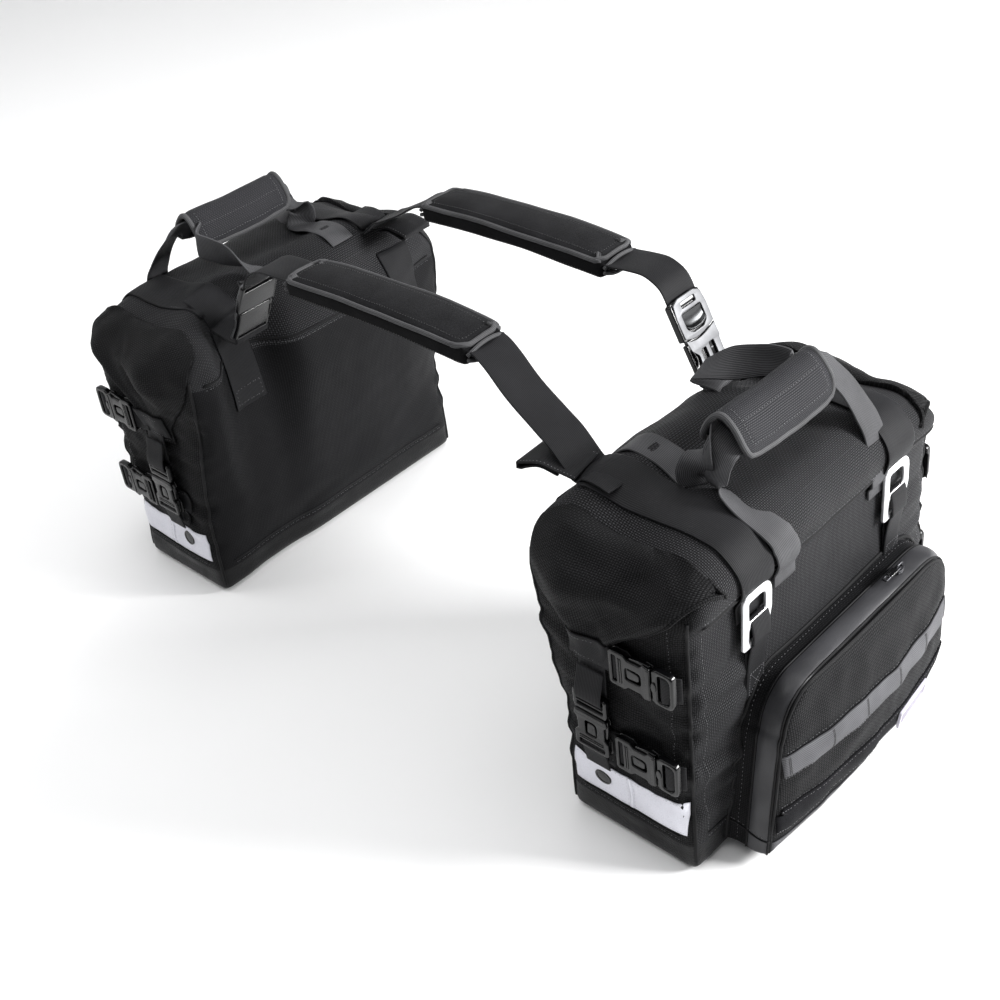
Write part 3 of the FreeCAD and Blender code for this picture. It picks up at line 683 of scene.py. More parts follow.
def wrinkle(thing, amount, where=None, size=60.0, stretch=(1.0, 1.0, 1.0), seed=0.0):
    """Move points along their normals by smooth noise, amount millimetres either way."""
    points = vertices_mm(thing)
    normals = np.zeros(len(points) * 3)
    thing.data.vertices.foreach_get("normal", normals)
    normals = normals.reshape(-1, 3)
    for index, point in enumerate(points):
        share = 1.0 if where is None else where(point)
        if share <= 0:
            continue
        place = Vector([point[axis] * stretch[axis] / size + seed for axis in range(3)])
        points[index] += normals[index] * (amount * share * noise.noise(place))
    set_vertices_mm(thing, points)


class Surface:
    """Ray casts onto one or more finished soft pieces, in millimetres."""

    def __init__(self, *things):
        points, faces = [], []
        for thing in things:
            offset = len(points)
            points += [vertex.co / MM for vertex in thing.data.vertices]
            faces += [[offset + index for index in face.vertices] for face in thing.data.polygons]
        self.tree = BVHTree.FromPolygons(points, faces)

    def drop(self, point, way, lift=0.0):
        """Where a ray from point along way lands, raised by lift along the normal there, and that normal."""
        way = Vector(way).normalized()
        hit, normal, _, _ = self.tree.ray_cast(Vector(point) - way * 200, way)
        if hit is None:
            hit, normal, _, _ = self.tree.find_nearest(Vector(point))
        if normal.dot(way) > 0:
            normal = -normal
        return hit + normal * lift, normal

    def run(self, path, way, lift=0.0, step=5.0):
        """A path laid on the surface along a ray direction: a list of (point, normal)."""
        return [self.drop(point, way, lift) for point in resample(path, step)]


def web_ring(hits, out, lift, thickness):
    """One cross-section of webbing that lies on a surface, over its face and back under it."""
    upper, lower = [], []
    for hit, share in zip(hits, WEB_SHARES):
        half = thickness / 2 * (0.6 if abs(share) > SELVEDGE else 1.0)
        upper.append(hit + out * (lift + half))
        lower.append(hit + out * (lift - half))
    return upper + lower[::-1]


def draped(name, surface, path, way, width, lift=1.6, thickness=2.2, cloth="webbing", step=6.0):
    """Webbing sewn flat onto a surface: each cross-section follows the surface below it."""
    points = resample(path, step)
    way = Vector(way).normalized()
    rings = []
    for point, along in zip(points, tangents(points)):
        side = along.cross(way).normalized()
        hits = [surface.drop(point + side * share * width, way)[0] for share in WEB_SHARES]
        rings.append(web_ring(hits, -way, lift, thickness))
    return web_loft(name, rings, lengths_along(points), width, cloth)


def plate(name, outline, holes, thickness, bevel, cloth, matrix=None, resolution=3):
    """A flat plate with holes and rounded edges, drawn in its own XY plane and set in place by a matrix.

    Each loop is a list of (x, y, radius): corners are rounded by their radius.
    """
    curve = bpy.data.curves.new(name, "CURVE")
    curve.dimensions = "2D"
    curve.fill_mode = "BOTH"
    curve.extrude = max(thickness / 2 - bevel, 0.01)
    curve.bevel_depth = bevel
    curve.bevel_resolution = resolution
    curve.offset = -bevel
    for loop in [outline] + holes:
        points = round_loop(loop)
        spline = curve.splines.new("POLY")
        spline.points.add(len(points) - 1)
        for item, (x, y) in zip(spline.points, points):
            item.co = (x, y, 0, 1)
        spline.use_cyclic_u = True
    source = bpy.data.objects.new(name, curve)
    bpy.context.scene.collection.objects.link(source)
    graph = bpy.context.evaluated_depsgraph_get()
    mesh = bpy.data.meshes.new_from_object(source.evaluated_get(graph))
    bpy.data.objects.remove(source)
    work = bmesh.new()
    work.from_mesh(mesh)
    bmesh.ops.remove_doubles(work, verts=work.verts, dist=0.01)
    if matrix is not None:
        work.transform(matrix)
    bmesh.ops.scale(work, vec=(MM, MM, MM), verts=work.verts)
    bmesh.ops.recalc_face_normals(work, faces=work.faces)
    work.to_mesh(mesh)
    work.free()
    mesh.name = name
    mesh.materials.clear()
    mesh.materials.append(CLOTH[cloth])
    thing = bpy.data.objects.new(name, mesh)
    bpy.context.scene.collection.objects.link(thing)
    shade_by_angle(thing)
    box_uv(thing)
    return thing


def layers(cloth, matrix, stack):
    """Moulded layers over one plane. Each is (outline, holes, thickness, bevel, height above the plane)."""
    return [plate("layer", outline, holes, thickness, bevel, cloth,
                  matrix @ Matrix.Translation((0, 0, height)))
            for outline, holes, thickness, bevel, height in stack]


def facing(spot, normal, across):
    """A matrix at a spot on a surface: z along the normal, x as near as it can be to across."""
    across = Vector(across)
    across = (across - normal * across.dot(normal)).normalized()
    matrix = Matrix((across, normal.cross(across), normal)).transposed().to_4x4()
    matrix.translation = spot
    return matrix


def circle(radius, count=32):
    return [(radius * math.cos(t), radius * math.sin(t), 0)
            for t in np.linspace(0, 2 * math.pi, count + 1)[:-1]]


def round_loop(loop, parts=5):
    """Corner points (x, y, radius) turned into a polygon with round corners."""
    out = []
    count = len(loop)
    for index, (x, y, radius) in enumerate(loop):
        corner = Vector((x, y))
        if radius <= 0:
            out.append((x, y))
            continue
        before, after = Vector(loop[index - 1][:2]) - corner, Vector(loop[(index + 1) % count][:2]) - corner
        room = 0.46 * min(before.length, after.length)
        before, after = before.normalized(), after.normalized()
        reach = min(room, radius / max(math.tan(before.angle(after) / 2), 1e-3))
        start, end = corner + before * reach, corner + after * reach
        for part in range(parts + 1):
            t = part / parts
            point = start * (1 - t) ** 2 + corner * 2 * t * (1 - t) + end * t * t
            out.append((point.x, point.y))
    return out


def box_loop(x0, y0, x1, y1, radius=1.0):
    return [(x0, y0, radius), (x1, y0, radius), (x1, y1, radius), (x0, y1, radius)]


def shade_by_angle(thing, angle=35.0):
    """Smooth shading with sharp edges kept."""
    work = bmesh.new()
    work.from_mesh(thing.data)
    for edge in work.edges:
        edge.smooth = len(edge.link_faces) == 2 and edge.calc_face_angle(0) < math.radians(angle)
    for face in work.faces:
        face.smooth = True
    work.to_mesh(thing.data)
    work.free()


def joined(name, things):
    """Merge several objects into one piece, keeping their materials."""
    materials, points, faces, cloth_index, uv, sharp = [], [], [], [], [], []
    for thing in things:
        mesh = thing.data
        offset = len(points)
        points += [vertex.co.copy() for vertex in mesh.vertices]
        lookup = []
        for material in mesh.materials:
            if material not in materials:
                materials.append(material)
            lookup.append(materials.index(material))
        layer = mesh.uv_layers["cloth_mm"].data
        for face in mesh.polygons:
            faces.append([offset + index for index in face.vertices])
            cloth_index.append(lookup[face.material_index])
            uv += [tuple(layer[loop].uv) for loop in face.loop_indices]
        sharp += [(offset + edge.vertices[0], offset + edge.vertices[1])
                  for edge in mesh.edges if edge.use_edge_sharp]
        bpy.data.objects.remove(thing)
        bpy.data.meshes.remove(mesh)
    mesh = bpy.data.meshes.new(name)
    mesh.from_pydata(points, [], faces)
    for material in materials:
        mesh.materials.append(material)
    mesh.polygons.foreach_set("material_index", cloth_index)
    mesh.polygons.foreach_set("use_smooth", [True] * len(faces))
    mesh.uv_layers.new(name="cloth_mm").data.foreach_set("uv", np.array(uv, float).ravel())
    marked = {tuple(sorted(pair)) for pair in sharp}
    for edge in mesh.edges:
        if tuple(sorted(edge.vertices)) in marked:
            edge.use_edge_sharp = True
    mesh.update()
    thing = bpy.data.objects.new(name, mesh)
    bpy.context.scene.collection.objects.link(thing)
    return thing


def rounded(a, b, c, half, radius):
    """A point on a box surface moved onto the same box with rounded edges, about the origin."""
    point = Vector((a * half[0], b * half[1], c * half[2]))
    inner = Vector([max(-(half[axis] - radius), min(half[axis] - radius, point[axis])) for axis in range(3)])
    out = point - inner
    return inner + out.normalized() * radius if out.length > 1e-6 else point


# ================================================================ piece register

PIECES = []


def piece(thing, body=None, blend=None, start=None, end=None, replaces=(), slot=None, bag=True):
    """Remember what a finished piece rides on. Left bag names stand for both bags."""
    PIECES.append({"thing": thing, "body": body, "blend": blend, "start": start, "end": end,
                   "replaces": replaces, "slot": slot, "bag": bag})
    return thing


# ================================================================ main compartment

LATCH_LOW, LATCH_HIGH = span("left_latch_frame")
LATCH_X = (LATCH_LOW.x + LATCH_HIGH.x) / 2
LATCH_TILT = math.radians(26.2)
LATCH = Matrix(((1, 0, 0), (0, math.cos(LATCH_TILT), math.sin(LATCH_TILT)),
                (0, -math.sin(LATCH_TILT), math.cos(LATCH_TILT)))).to_4x4()
LATCH.translation = (LATCH_X, -247, 416)
BODY_COUNTS = (46, 18, 42)
CROWN = RIDGE - SEAM


def lean(z):
    """How far the soft upper part sags back towards the seat."""
    share = max(0.0, min(1.0, (z - 90) / 240))
    return 36.0 * share * share * (3 - 2 * share)


def body_point(a, b, c):
    """The filled main compartment and roll top as one soft form."""
    height = (1 + c) / 2
    low, top = 1.5, RIDGE - 3
    half = (HALF_LENGTH, HALF_DEPTH, (top - low) / 2)
    point = rounded(a, b, c, half, 9 + 15 * min(1.0, height / 0.25))
    x, y, z = point.x, point.y, point.z + (top + low) / 2
    top_share = max(0.0, (z - SEAM) / CROWN)
    belly = math.sin(math.pi * min(1.0, height * 1.08))
    x += math.copysign(1.5 * belly * (1 - b * b), x) * min(1.0, abs(a) ** 6)
    y -= 6.0 * belly * (1 - a ** 4) * max(0.0, -b) ** 12
    y += 12.0 * belly ** 0.7 * (1 - 0.55 * a ** 4) * max(0.0, b) ** 4
    beside_latch = 1 - math.exp(-((x - LATCH_X) / 50.0) ** 4)
    y += lean(z) * max(0.0, (b + 1) / 2) ** 2.2 * beside_latch - 5.0 * (1 - beside_latch) * max(0.0, b) ** 4
    # The roll top bulges over the seam at the front shoulder and falls away towards the ends.
    if z > SEAM - 12:
        swell = math.sin(math.pi * min(1.0, max(0.0, (z - SEAM + 12) / (CROWN + 4))))
        y -= 13.0 * swell * max(0.0, -b) ** 3
        end = max(0.0, abs(a) - 0.62) / 0.38
        z -= top_share * 26.0 * end * end
        y += top_share * 10.0 * end * end * (b < 0)
        ridge = math.exp(-((y + MIDDLE_Y - (BACK - 8)) / 48.0) ** 2)
        z += top_share * 24.0 * ridge * (1 - 0.7 * end)
        x -= math.copysign(10.0 * top_share ** 2, x) * min(1.0, abs(a) ** 8)
    return (x, y + MIDDLE_Y, z)


def body_cloth(side, c):
    """0 fine cloth, 1 coarse ballistic cloth, 2 coated base, 3 darker back panel cloth, a painted shade on
    the back panels that face the seat.
    """
    z = (c + 1) / 2 * (RIDGE - 4.5) + 1.5
    if z < BOOT_TOP - 6 or side == "-z":
        return 2
    if side in ("-x", "+x"):
        return 1
    # Painted shade: the back panels below the seam take the darker gusset cloth, so the far bag's back, lit
    # by the key light, reads shaded.
    return 3 if side == "+y" and z < SEAM else 0


def seam_pins(thing):
    """Points held still while the bag fills: its seams and its base."""
    points = vertices_mm(thing)
    x, y, z = points.T
    end = np.abs(x) > HALF_LENGTH - 10
    side = np.abs(y - MIDDLE_Y) > HALF_DEPTH - 10
    upright = end & side & (z < SEAM + 4)
    front_seam = (np.abs(z - SEAM) < 5) & (y < MIDDLE_Y)
    base = z < 12
    hem = np.abs(z - BOOT_TOP) < 5
    return upright | front_seam | base | hem


def fill_share(point):
    """How much of the filling each place keeps: the hardware on the ends and upper front stays flat."""
    x, y, z = point
    if abs(x) > HALF_LENGTH - 6:
        return 0.25
    if y < FRONT + 8 and z < SEAM:
        return 0.3 if z > 190 else 0.6
    return 1.0


body = soft_box("left_bag_body", BODY_COUNTS, body_point, ["smooth", "coarse", "boot", "dark"], body_cloth,
                (2 * HALF_LENGTH, 2 * HALF_DEPTH, RIDGE))
inflate(body, 1.3, 8.0, seam_pins(body), share=fill_share)


def upright_share(point):
    return 1.0 if point[2] > 30 else 0.0


def end_share(point):
    """Strongest on the end panels between the base and the ear."""
    x, _, z = point
    inside = 1.0 if abs(x) > HALF_LENGTH - 14 else 0.0
    return inside * max(0.0, min(1.0, (z - 55) / 40)) * max(0.0, min(1.0, (330 - z) / 40))


def top_share_of(point):
    return max(0.0, min(1.0, (point[2] - SEAM - 4) / 20))


def outer_front_share(point):
    """The front panel beside the pocket, where the load creases it."""
    x, y, z = point
    inside = 1.0 if y < FRONT + 14 else 0.0
    return (inside * max(0.0, min(1.0, (abs(x) - 120) / 40))
            * max(0.0, min(1.0, (z - 55) / 30, (300 - z) / 50)))


subdivided(body)
wrinkle(body, 7.0, outer_front_share, 38.0, (0.4, 1.0, 2.2), 23.0)
wrinkle(body, 3.4, upright_share, 95.0)
wrinkle(body, 6.0, end_share, 52.0, (0.3, 1.0, 2.4), 7.0)
wrinkle(body, 2.2, end_share, 24.0, (0.3, 1.3, 2.0), 17.0)
wrinkle(body, 2.4, top_share_of, 60.0, (0.8, 1.5, 1.0), 3.0)
wrinkle(body, 0.7, upright_share, 22.0, (1.0, 1.0, 1.0), 11.0)
SKIN = Surface(body)
piece(body, "bag", replaces=("bag_shell", "base_boot", "dry_liner", "back_board", "roll_top",
                             "roll_stiffener"),
      slot="ballistic_nylon")

# Seams: a dark cord in each joint line with stitching beside it.
OUT = {"front": (0, 1, 0), "back": (0, -1, 0), "rear": (-1, 0, 0), "fore": (1, 0, 0), "top": (0, 0, -1)}


def seam(name, path, way, thick=1.5, cloth="piping", lift=0.2):
    points = [spot for spot, _ in SKIN.run(path, way, lift)]
    return cord(name, points, thick, cloth, sides=6, smooth_path=False)


def body_seams():
    parts, rows = [], []
    top_seam = [(x, FRONT - 10, SEAM) for x in np.linspace(-HALF_LENGTH + 16, HALF_LENGTH - 16, 12)]
    parts.append(seam("front_seam", top_seam, OUT["front"], 1.7))
    rows.append(SKIN.run([(x, y, z + 6) for x, y, z in top_seam], OUT["front"], 0.2, 3.0))
    for sign in (-1, 1):
        way = Vector((-sign, 0.9, 0))
        path = [(sign * (HALF_LENGTH + 5), FRONT - 6, z) for z in np.linspace(12, SEAM + 8, 10)]
        parts.append(seam("upright_front_%d" % sign, path, way, 2.2))
        back_way = Vector((-sign, -0.9, 0))
        path = [(sign * (HALF_LENGTH + 5), BACK + 6 + lean(z), z) for z in np.linspace(12, SEAM + 8, 14)]
        parts.append(seam("upright_back_%d" % sign, path, back_way, 2.2))
        beside = [(sign * (HALF_LENGTH + 30), FRONT + 22, z) for z in np.linspace(52, SEAM - 6, 10)]
        rows.append(SKIN.run(beside, (-sign, 0, 0), 0.2, 3.0))
        beside = [(sign * (HALF_LENGTH - 22), FRONT - 30, z) for z in np.linspace(52, SEAM - 6, 10)]
        rows.append(SKIN.run(beside, OUT["front"], 0.2, 3.0))
        hem = [(sign * (HALF_LENGTH + 30), y, BOOT_TOP) for y in np.linspace(FRONT + 20, BACK - 20, 6)]
        parts.append(seam("end_hem_%d" % sign, hem, (-sign, 0, 0), 1.2))
        rows.append(SKIN.run([(x, y, z - 5) for x, y, z in hem], (-sign, 0, 0), 0.2, 3.0))
    for y, way in ((FRONT - 20, OUT["front"]), (BACK + 20, OUT["back"])):
        hem = [(x, y, BOOT_TOP) for x in np.linspace(-HALF_LENGTH + 22, HALF_LENGTH - 22, 12)]
        parts.append(seam("hem_%d" % y, hem, way, 1.2))
        rows.append(SKIN.run([(x, y, z - 5) for x, y, z in hem], way, 0.2, 3.0))
    back_top = [(x, BACK + 20, SEAM) for x in np.linspace(-HALF_LENGTH + 22, HALF_LENGTH - 22, 12)]
    parts.append(seam("back_seam", back_top, OUT["back"], 1.6))
    rows.append(SKIN.run([(x, y, z - 6) for x, y, z in back_top], OUT["back"], 0.2, 3.0))
    piece(joined("left_bag_seams", parts), "bag", slot="ballistic_nylon")
    piece(stitches("left_bag_stitching", rows, "grey_thread", radius=0.3), "bag", slot="ballistic_nylon")


body_seams()


# ================================================================ ears of the roll top

def ear(end, sign):
    """The roll top's side fold: a broad triangle that drapes over the end and narrows to a sewn tip."""
    tip = SEAM - 98
    rows = [  # (angle over the top edge in degrees, height, front edge y, back edge y, puff)
        (0, tip, BACK - 78, BACK - 26, 1.0),
        (0, tip + 26, BACK - 78, BACK - 23, 4.0),
        (0, tip + 50, BACK - 84, BACK - 4, 9.0),
        (0, tip + 66, BACK - 102, BACK + 12, 14.0),
        (0, tip + 84, BACK - 130, BACK + 24, 18.0),
        (6, tip + 100, BACK - 154, BACK + 30, 20.0),
        (22, tip + 116, FRONT - 3, BACK + 32, 18.0),
        (42, tip + 126, FRONT - 15, BACK + 28, 13.0),
        (60, tip + 128, FRONT - 13, BACK + 20, 8.0),
        (74, tip + 128, FRONT + 2, BACK + 10, 4.5),
        (84, tip + 128, FRONT + 22, BACK - 4, 1.2),
    ]
    across, down = 40, 44
    upper, lower = [], []
    for step in range(down + 1):
        place = step / down * (len(rows) - 1)
        first = min(int(place), len(rows) - 2)
        t = place - first
        t = t * t * (3 - 2 * t) * 0.35 + t * 0.65
        row = [(1 - t) * p + t * q for p, q in zip(rows[first], rows[first + 1])]
        angle, height, y_front, y_back, puff = row
        radians = math.radians(angle)
        over, under = [], []
        for part in range(across + 1):
            share = part / across
            y = y_front + (y_back - y_front) * share
            edge = 1 - abs(2 * share - 1) ** 5
            # The fabric is fullest two thirds of the way back and folds softly along its front edge.
            belly = math.sin(math.pi * min(1.0, share * 0.93 + 0.05)) ** 0.7
            hump = math.exp(-((share - 0.66) / 0.2) ** 2)
            overhang = max(0.35, min(1.0, (SEAM + 60 - height) / 60))
            front_roll = math.exp(-((share - 0.06) / 0.09) ** 2) * 8.5 * overhang
            fold = noise.noise(Vector((sign * 3 + y / 42.0, height / 30.0 + step / 15.0, 2.0)))
            diagonal = math.sin((y * 0.8 + height * 1.5 + 8 * fold) / 15.0)
            pleat = (math.exp(-((share - 0.34 - 0.1 * fold) / 0.06) ** 2)
                     * max(0.0, 1 - abs(height - SEAM) / 60))
            # Pleats fan out from the front point of the fold.
            from_point = Vector((y - FRONT, height - tip - 112))
            fan = math.sin(9 * math.atan2(from_point.y, from_point.x) + 2 * fold)
            diagonal += 1.9 * fan * math.exp(-from_point.length / 80)
            # The sewn tip lies flat, clear of the buckle tongue that slides over it.
            loose = max(0.05, min(1.0, (height - tip - 10) / 45))
            creases = 4.2 * fold + 1.4 * diagonal - 4.5 * pleat
            lift = 3.4 + edge * (puff * (0.45 * belly + 0.55 * hump) + loose * creases)
            lift = max(1.6, lift + loose * front_roll)
            way = Vector((-sign * math.cos(radians), 0, -math.sin(radians)))
            origin = Vector((sign * (HALF_LENGTH - 42), y, height))
            hit, _ = SKIN.drop(origin - way * 60, way)
            over.append(hit - way * lift)
            under.append(hit - way * (1.2 - 2.0 * edge))
        upper.append(over)
        lower.append(under)
    reach = lengths_along([line[across * 2 // 3] for line in upper])
    thing, _ = closed_sheet("left_ear_" + end, upper, lower, "coarse",
                            lambda row, column: (reach[row], upper[row][column].y), flip=sign < 0)
    subdivided(thing)
    hem = [over[0].lerp(under[0], 0.35) for over, under in zip(upper[:-4], lower[:-4])]
    piece(cord("left_ear_hem_" + end, hem, 2.3, "coarse", sides=8), "bag", slot="ballistic_nylon")
    piece(thing, "bag", slot="ballistic_nylon")
    # Hem stitching above the sewn tip.
    surface = Surface(thing)
    rows = []
    for height in (tip + 5, tip + 30, tip + 34):
        path = [(sign * 260, y, height) for y in np.linspace(BACK - 74, BACK - 30, 5)]
        rows.append(surface.run(path, (-sign, 0, 0), 0.2, 3.0))
    piece(stitches("left_ear_stitching_" + end, rows, "grey_thread", radius=0.3), "bag",
          slot="ballistic_nylon")
    return thing


EARS = {"front": ear("front", -1), "rear": ear("rear", 1)}
WRAPPED = Surface(body, *EARS.values())


# ================================================================ front pocket

POCKET_SHIFT = 12
POCKET_TOP_HALF = 150
POCKET_BASE_HALF = POCKET_HIGH.x - 10
POCKET_CORNER = 52
POCKET_HEIGHT = POCKET_HIGH.z - POCKET_LOW.z
FACE_Y = POCKET_LOW.y
FACE_INSET = 6.0
WEB_LOW, WEB_HIGH = 117, 143
LOOP_LOW, LOOP_HIGH = 42, 72
TO_BAG = (0, 1, 0)


def pocket_half_width(z):
    share = (z - POCKET_LOW.z) / POCKET_HEIGHT
    return POCKET_BASE_HALF + (POCKET_TOP_HALF - POCKET_BASE_HALF) * share


def pocket_side(inset):
    """The left side of the pocket's arch from its foot to where the top runs level, as (x, z)."""
    top = POCKET_HIGH.z - inset
    radius = POCKET_CORNER - inset * 0.5
    foot = POCKET_LOW.z
    heights = [foot + 2, foot + 3.2, *np.linspace(foot + 8, top - radius, 10)]
    left = [(-pocket_half_width(z) + inset, z) for z in heights]
    corner_x = -pocket_half_width(top - radius * 0.5) + inset + radius
    for angle in np.linspace(math.radians(176), math.radians(91), 16):
        left.append((corner_x + radius * math.cos(angle), top - radius + radius * math.sin(angle)))
    return left


def pocket_outline(inset):
    """The pocket's arch from its left foot over the top to its right foot, as (x, z), inset all round."""
    left = pocket_side(inset)
    inner_x = left[-1][0]
    across = [(x, POCKET_HIGH.z - inset) for x in np.linspace(inner_x + 20, -inner_x - 20, 9)]
    return left + across + [(-x, z) for x, z in reversed(left)]


def pocket_belly(x, z):
    """How far the pocket's face stands beyond its edge."""
    a = min(1.0, abs(x) / pocket_half_width(z))
    c = max(0.0, min(1.0, (z - POCKET_LOW.z) / POCKET_HEIGHT))
    tuck = 9.0 * max(0.0, 1 - c / 0.3) ** 2 * (0.5 + 0.5 * min(1.0, max(0.0, x / 120 + 0.5)))
    return 22.0 * (1 - a ** 2.2) * math.sin(math.pi * (c * 0.86 + 0.10)) - tuck


def pocket_gusset():
    """Gusset and zip band: loops of the outline from inside the bag out to the face's edge."""
    sections = [  # (inset from the outline, distance in front of the bag, cloth of the strip that follows)
        (-6.0, -6.0, 0), (-2.5, 2.0, 0), (-0.6, 9.0, 0), (0.3, 17.0, 0), (0.2, 24.0, 0), (-0.6, 26.5, 1),
        (-1.4, 32.0, 1), (-0.8, 39.0, 1), (1.2, 45.5, 1), (4.2, 50.0, 0), (7.5, 51.5, 0), (10.0, 48.0, 0),
    ]
    rings = []
    for inset, reach, _ in sections:
        ring = []
        for x, z in pocket_outline(inset):
            sag = noise.noise(Vector((x / 34.0, z / 34.0, reach / 15.0)))
            sag += 0.7 * noise.noise(Vector((x / 13.0, z / 13.0, reach / 11.0 + 5)))
            sag *= min(1.0, max(0.0, reach) / 12.0)
            ring.append(Vector((x + 1.5 * sag * math.copysign(1, x), FRONT - reach - 1.1 * sag,
                                z + 1.2 * sag)))
        rings.append(ring)
    points = [point for ring in rings for point in ring]
    count = len(rings[0])
    faces, uv, cloth_index = [], [], []
    lengths = lengths_along(rings[3])
    for number in range(len(sections) - 1):
        start, end = sections[number][1], sections[number + 1][1]
        for side in range(count - 1):
            a, d = number * count + side, (number + 1) * count + side
            faces.append((a, d, d + 1, a + 1))
            cloth_index.append(sections[number][2])
            uv += [(lengths[side], start), (lengths[side], end), (lengths[side + 1], end),
                   (lengths[side + 1], start)]
    for number in range(len(sections) - 1):
        a, b = number * count, (number + 1) * count
        c, d = (number + 2) * count - 1, (number + 1) * count - 1
        faces.append((a, d, c, b))
        cloth_index.append(0)
        uv += [(points[k][1], points[k][0]) for k in (a, d, c, b)]
    for ring, order in ((len(rings) - 1, -1), (0, 1)):
        face = [ring * count + side for side in range(count)][::order]
        faces.append(tuple(face))
        cloth_index.append(0)
        uv += [(points[k][2], points[k][0]) for k in face]
    return mesh_object("left_pocket_body", points, faces, ["dark", "zip"], uv, cloth_index)


def pocket_face():
    """The pocket's crowned face panel, closed behind, and its rim."""
    side = pocket_side(FACE_INSET)
    heights, reaches = [z for _, z in side], [-x for x, _ in side]
    across, up = 60, 38
    rows = []
    for level in range(up + 1):
        c = (1 - math.cos(math.pi * level / up)) / 2 * 0.5 + level / up * 0.5
        z = heights[0] + (heights[-1] - heights[0]) * c
        half = float(np.interp(z, heights, reaches))
        row = []
        for part in range(across + 1):
            share = 2 * part / across - 1
            x = half * math.sin(share * math.pi / 2) * 0.35 + half * share * 0.65
            rim = min(1.0, (1 - abs(x) / half) * 9, c * 12, (1 - c) * 11)
            quilt = 0.0
            for seam_z in (WEB_LOW - 2, WEB_HIGH + 2, LOOP_LOW, LOOP_HIGH):
                quilt += 1.8 * math.exp(-((z - seam_z) / 5.0) ** 2)
            crease = noise.noise(Vector((x / 46.0, 4.0, z / 30.0))) * 3.4
            crease += noise.noise(Vector((x / 17.0, 9.0, z / 34.0))) * 1.3
            y = FACE_Y + 2.5 - 3.5 * max(0.0, rim) ** 0.5 - pocket_belly(x, z) - rim * (crease - quilt)
            row.append(Vector((x, y, z)))
        rows.append(row)
    behind = [[point + Vector((0, 5, 0)) for point in row] for row in rows]
    sheet, rim = closed_sheet("left_pocket_face", rows, behind, "panel",
                              lambda row, column: (rows[row][column].z, rows[row][column].x))
    return sheet, [point for point, _ in rim]


def pocket_piece(thing, **settings):
    """The pocket is drawn about its own middle line, sits towards the rear and rounds up at its rear foot."""
    points = vertices_mm(thing)
    rearward = np.clip(points[:, 0] / 165, 0, 1)
    upward = np.clip((points[:, 2] - POCKET_LOW.z) / POCKET_HEIGHT, 0, 1)
    foot = np.clip((points[:, 0] - 75) / 110, 0, 1) ** 1.8
    points[:, 0] += POCKET_SHIFT + 24 * rearward * upward ** 1.5 - 6 * rearward * (1 - upward)
    points[:, 2] += 46 * foot * np.clip((92 - points[:, 2]) / 80, 0, 1) ** 1.3
    set_vertices_mm(thing, points)
    piece(thing, "bag", **settings)


def face_strip(name, z_low, z_high, cloth, lift, thickness=1.8, margin=2.0):
    middle = (z_low + z_high) / 2
    half = pocket_half_width(middle) - FACE_INSET - margin
    path = [(x, FACE_Y - 40, middle) for x in np.linspace(-half, half, 14)]
    return draped(name, FACE_SKIN, path, TO_BAG, z_high - z_low, lift, thickness, cloth, 5.0)


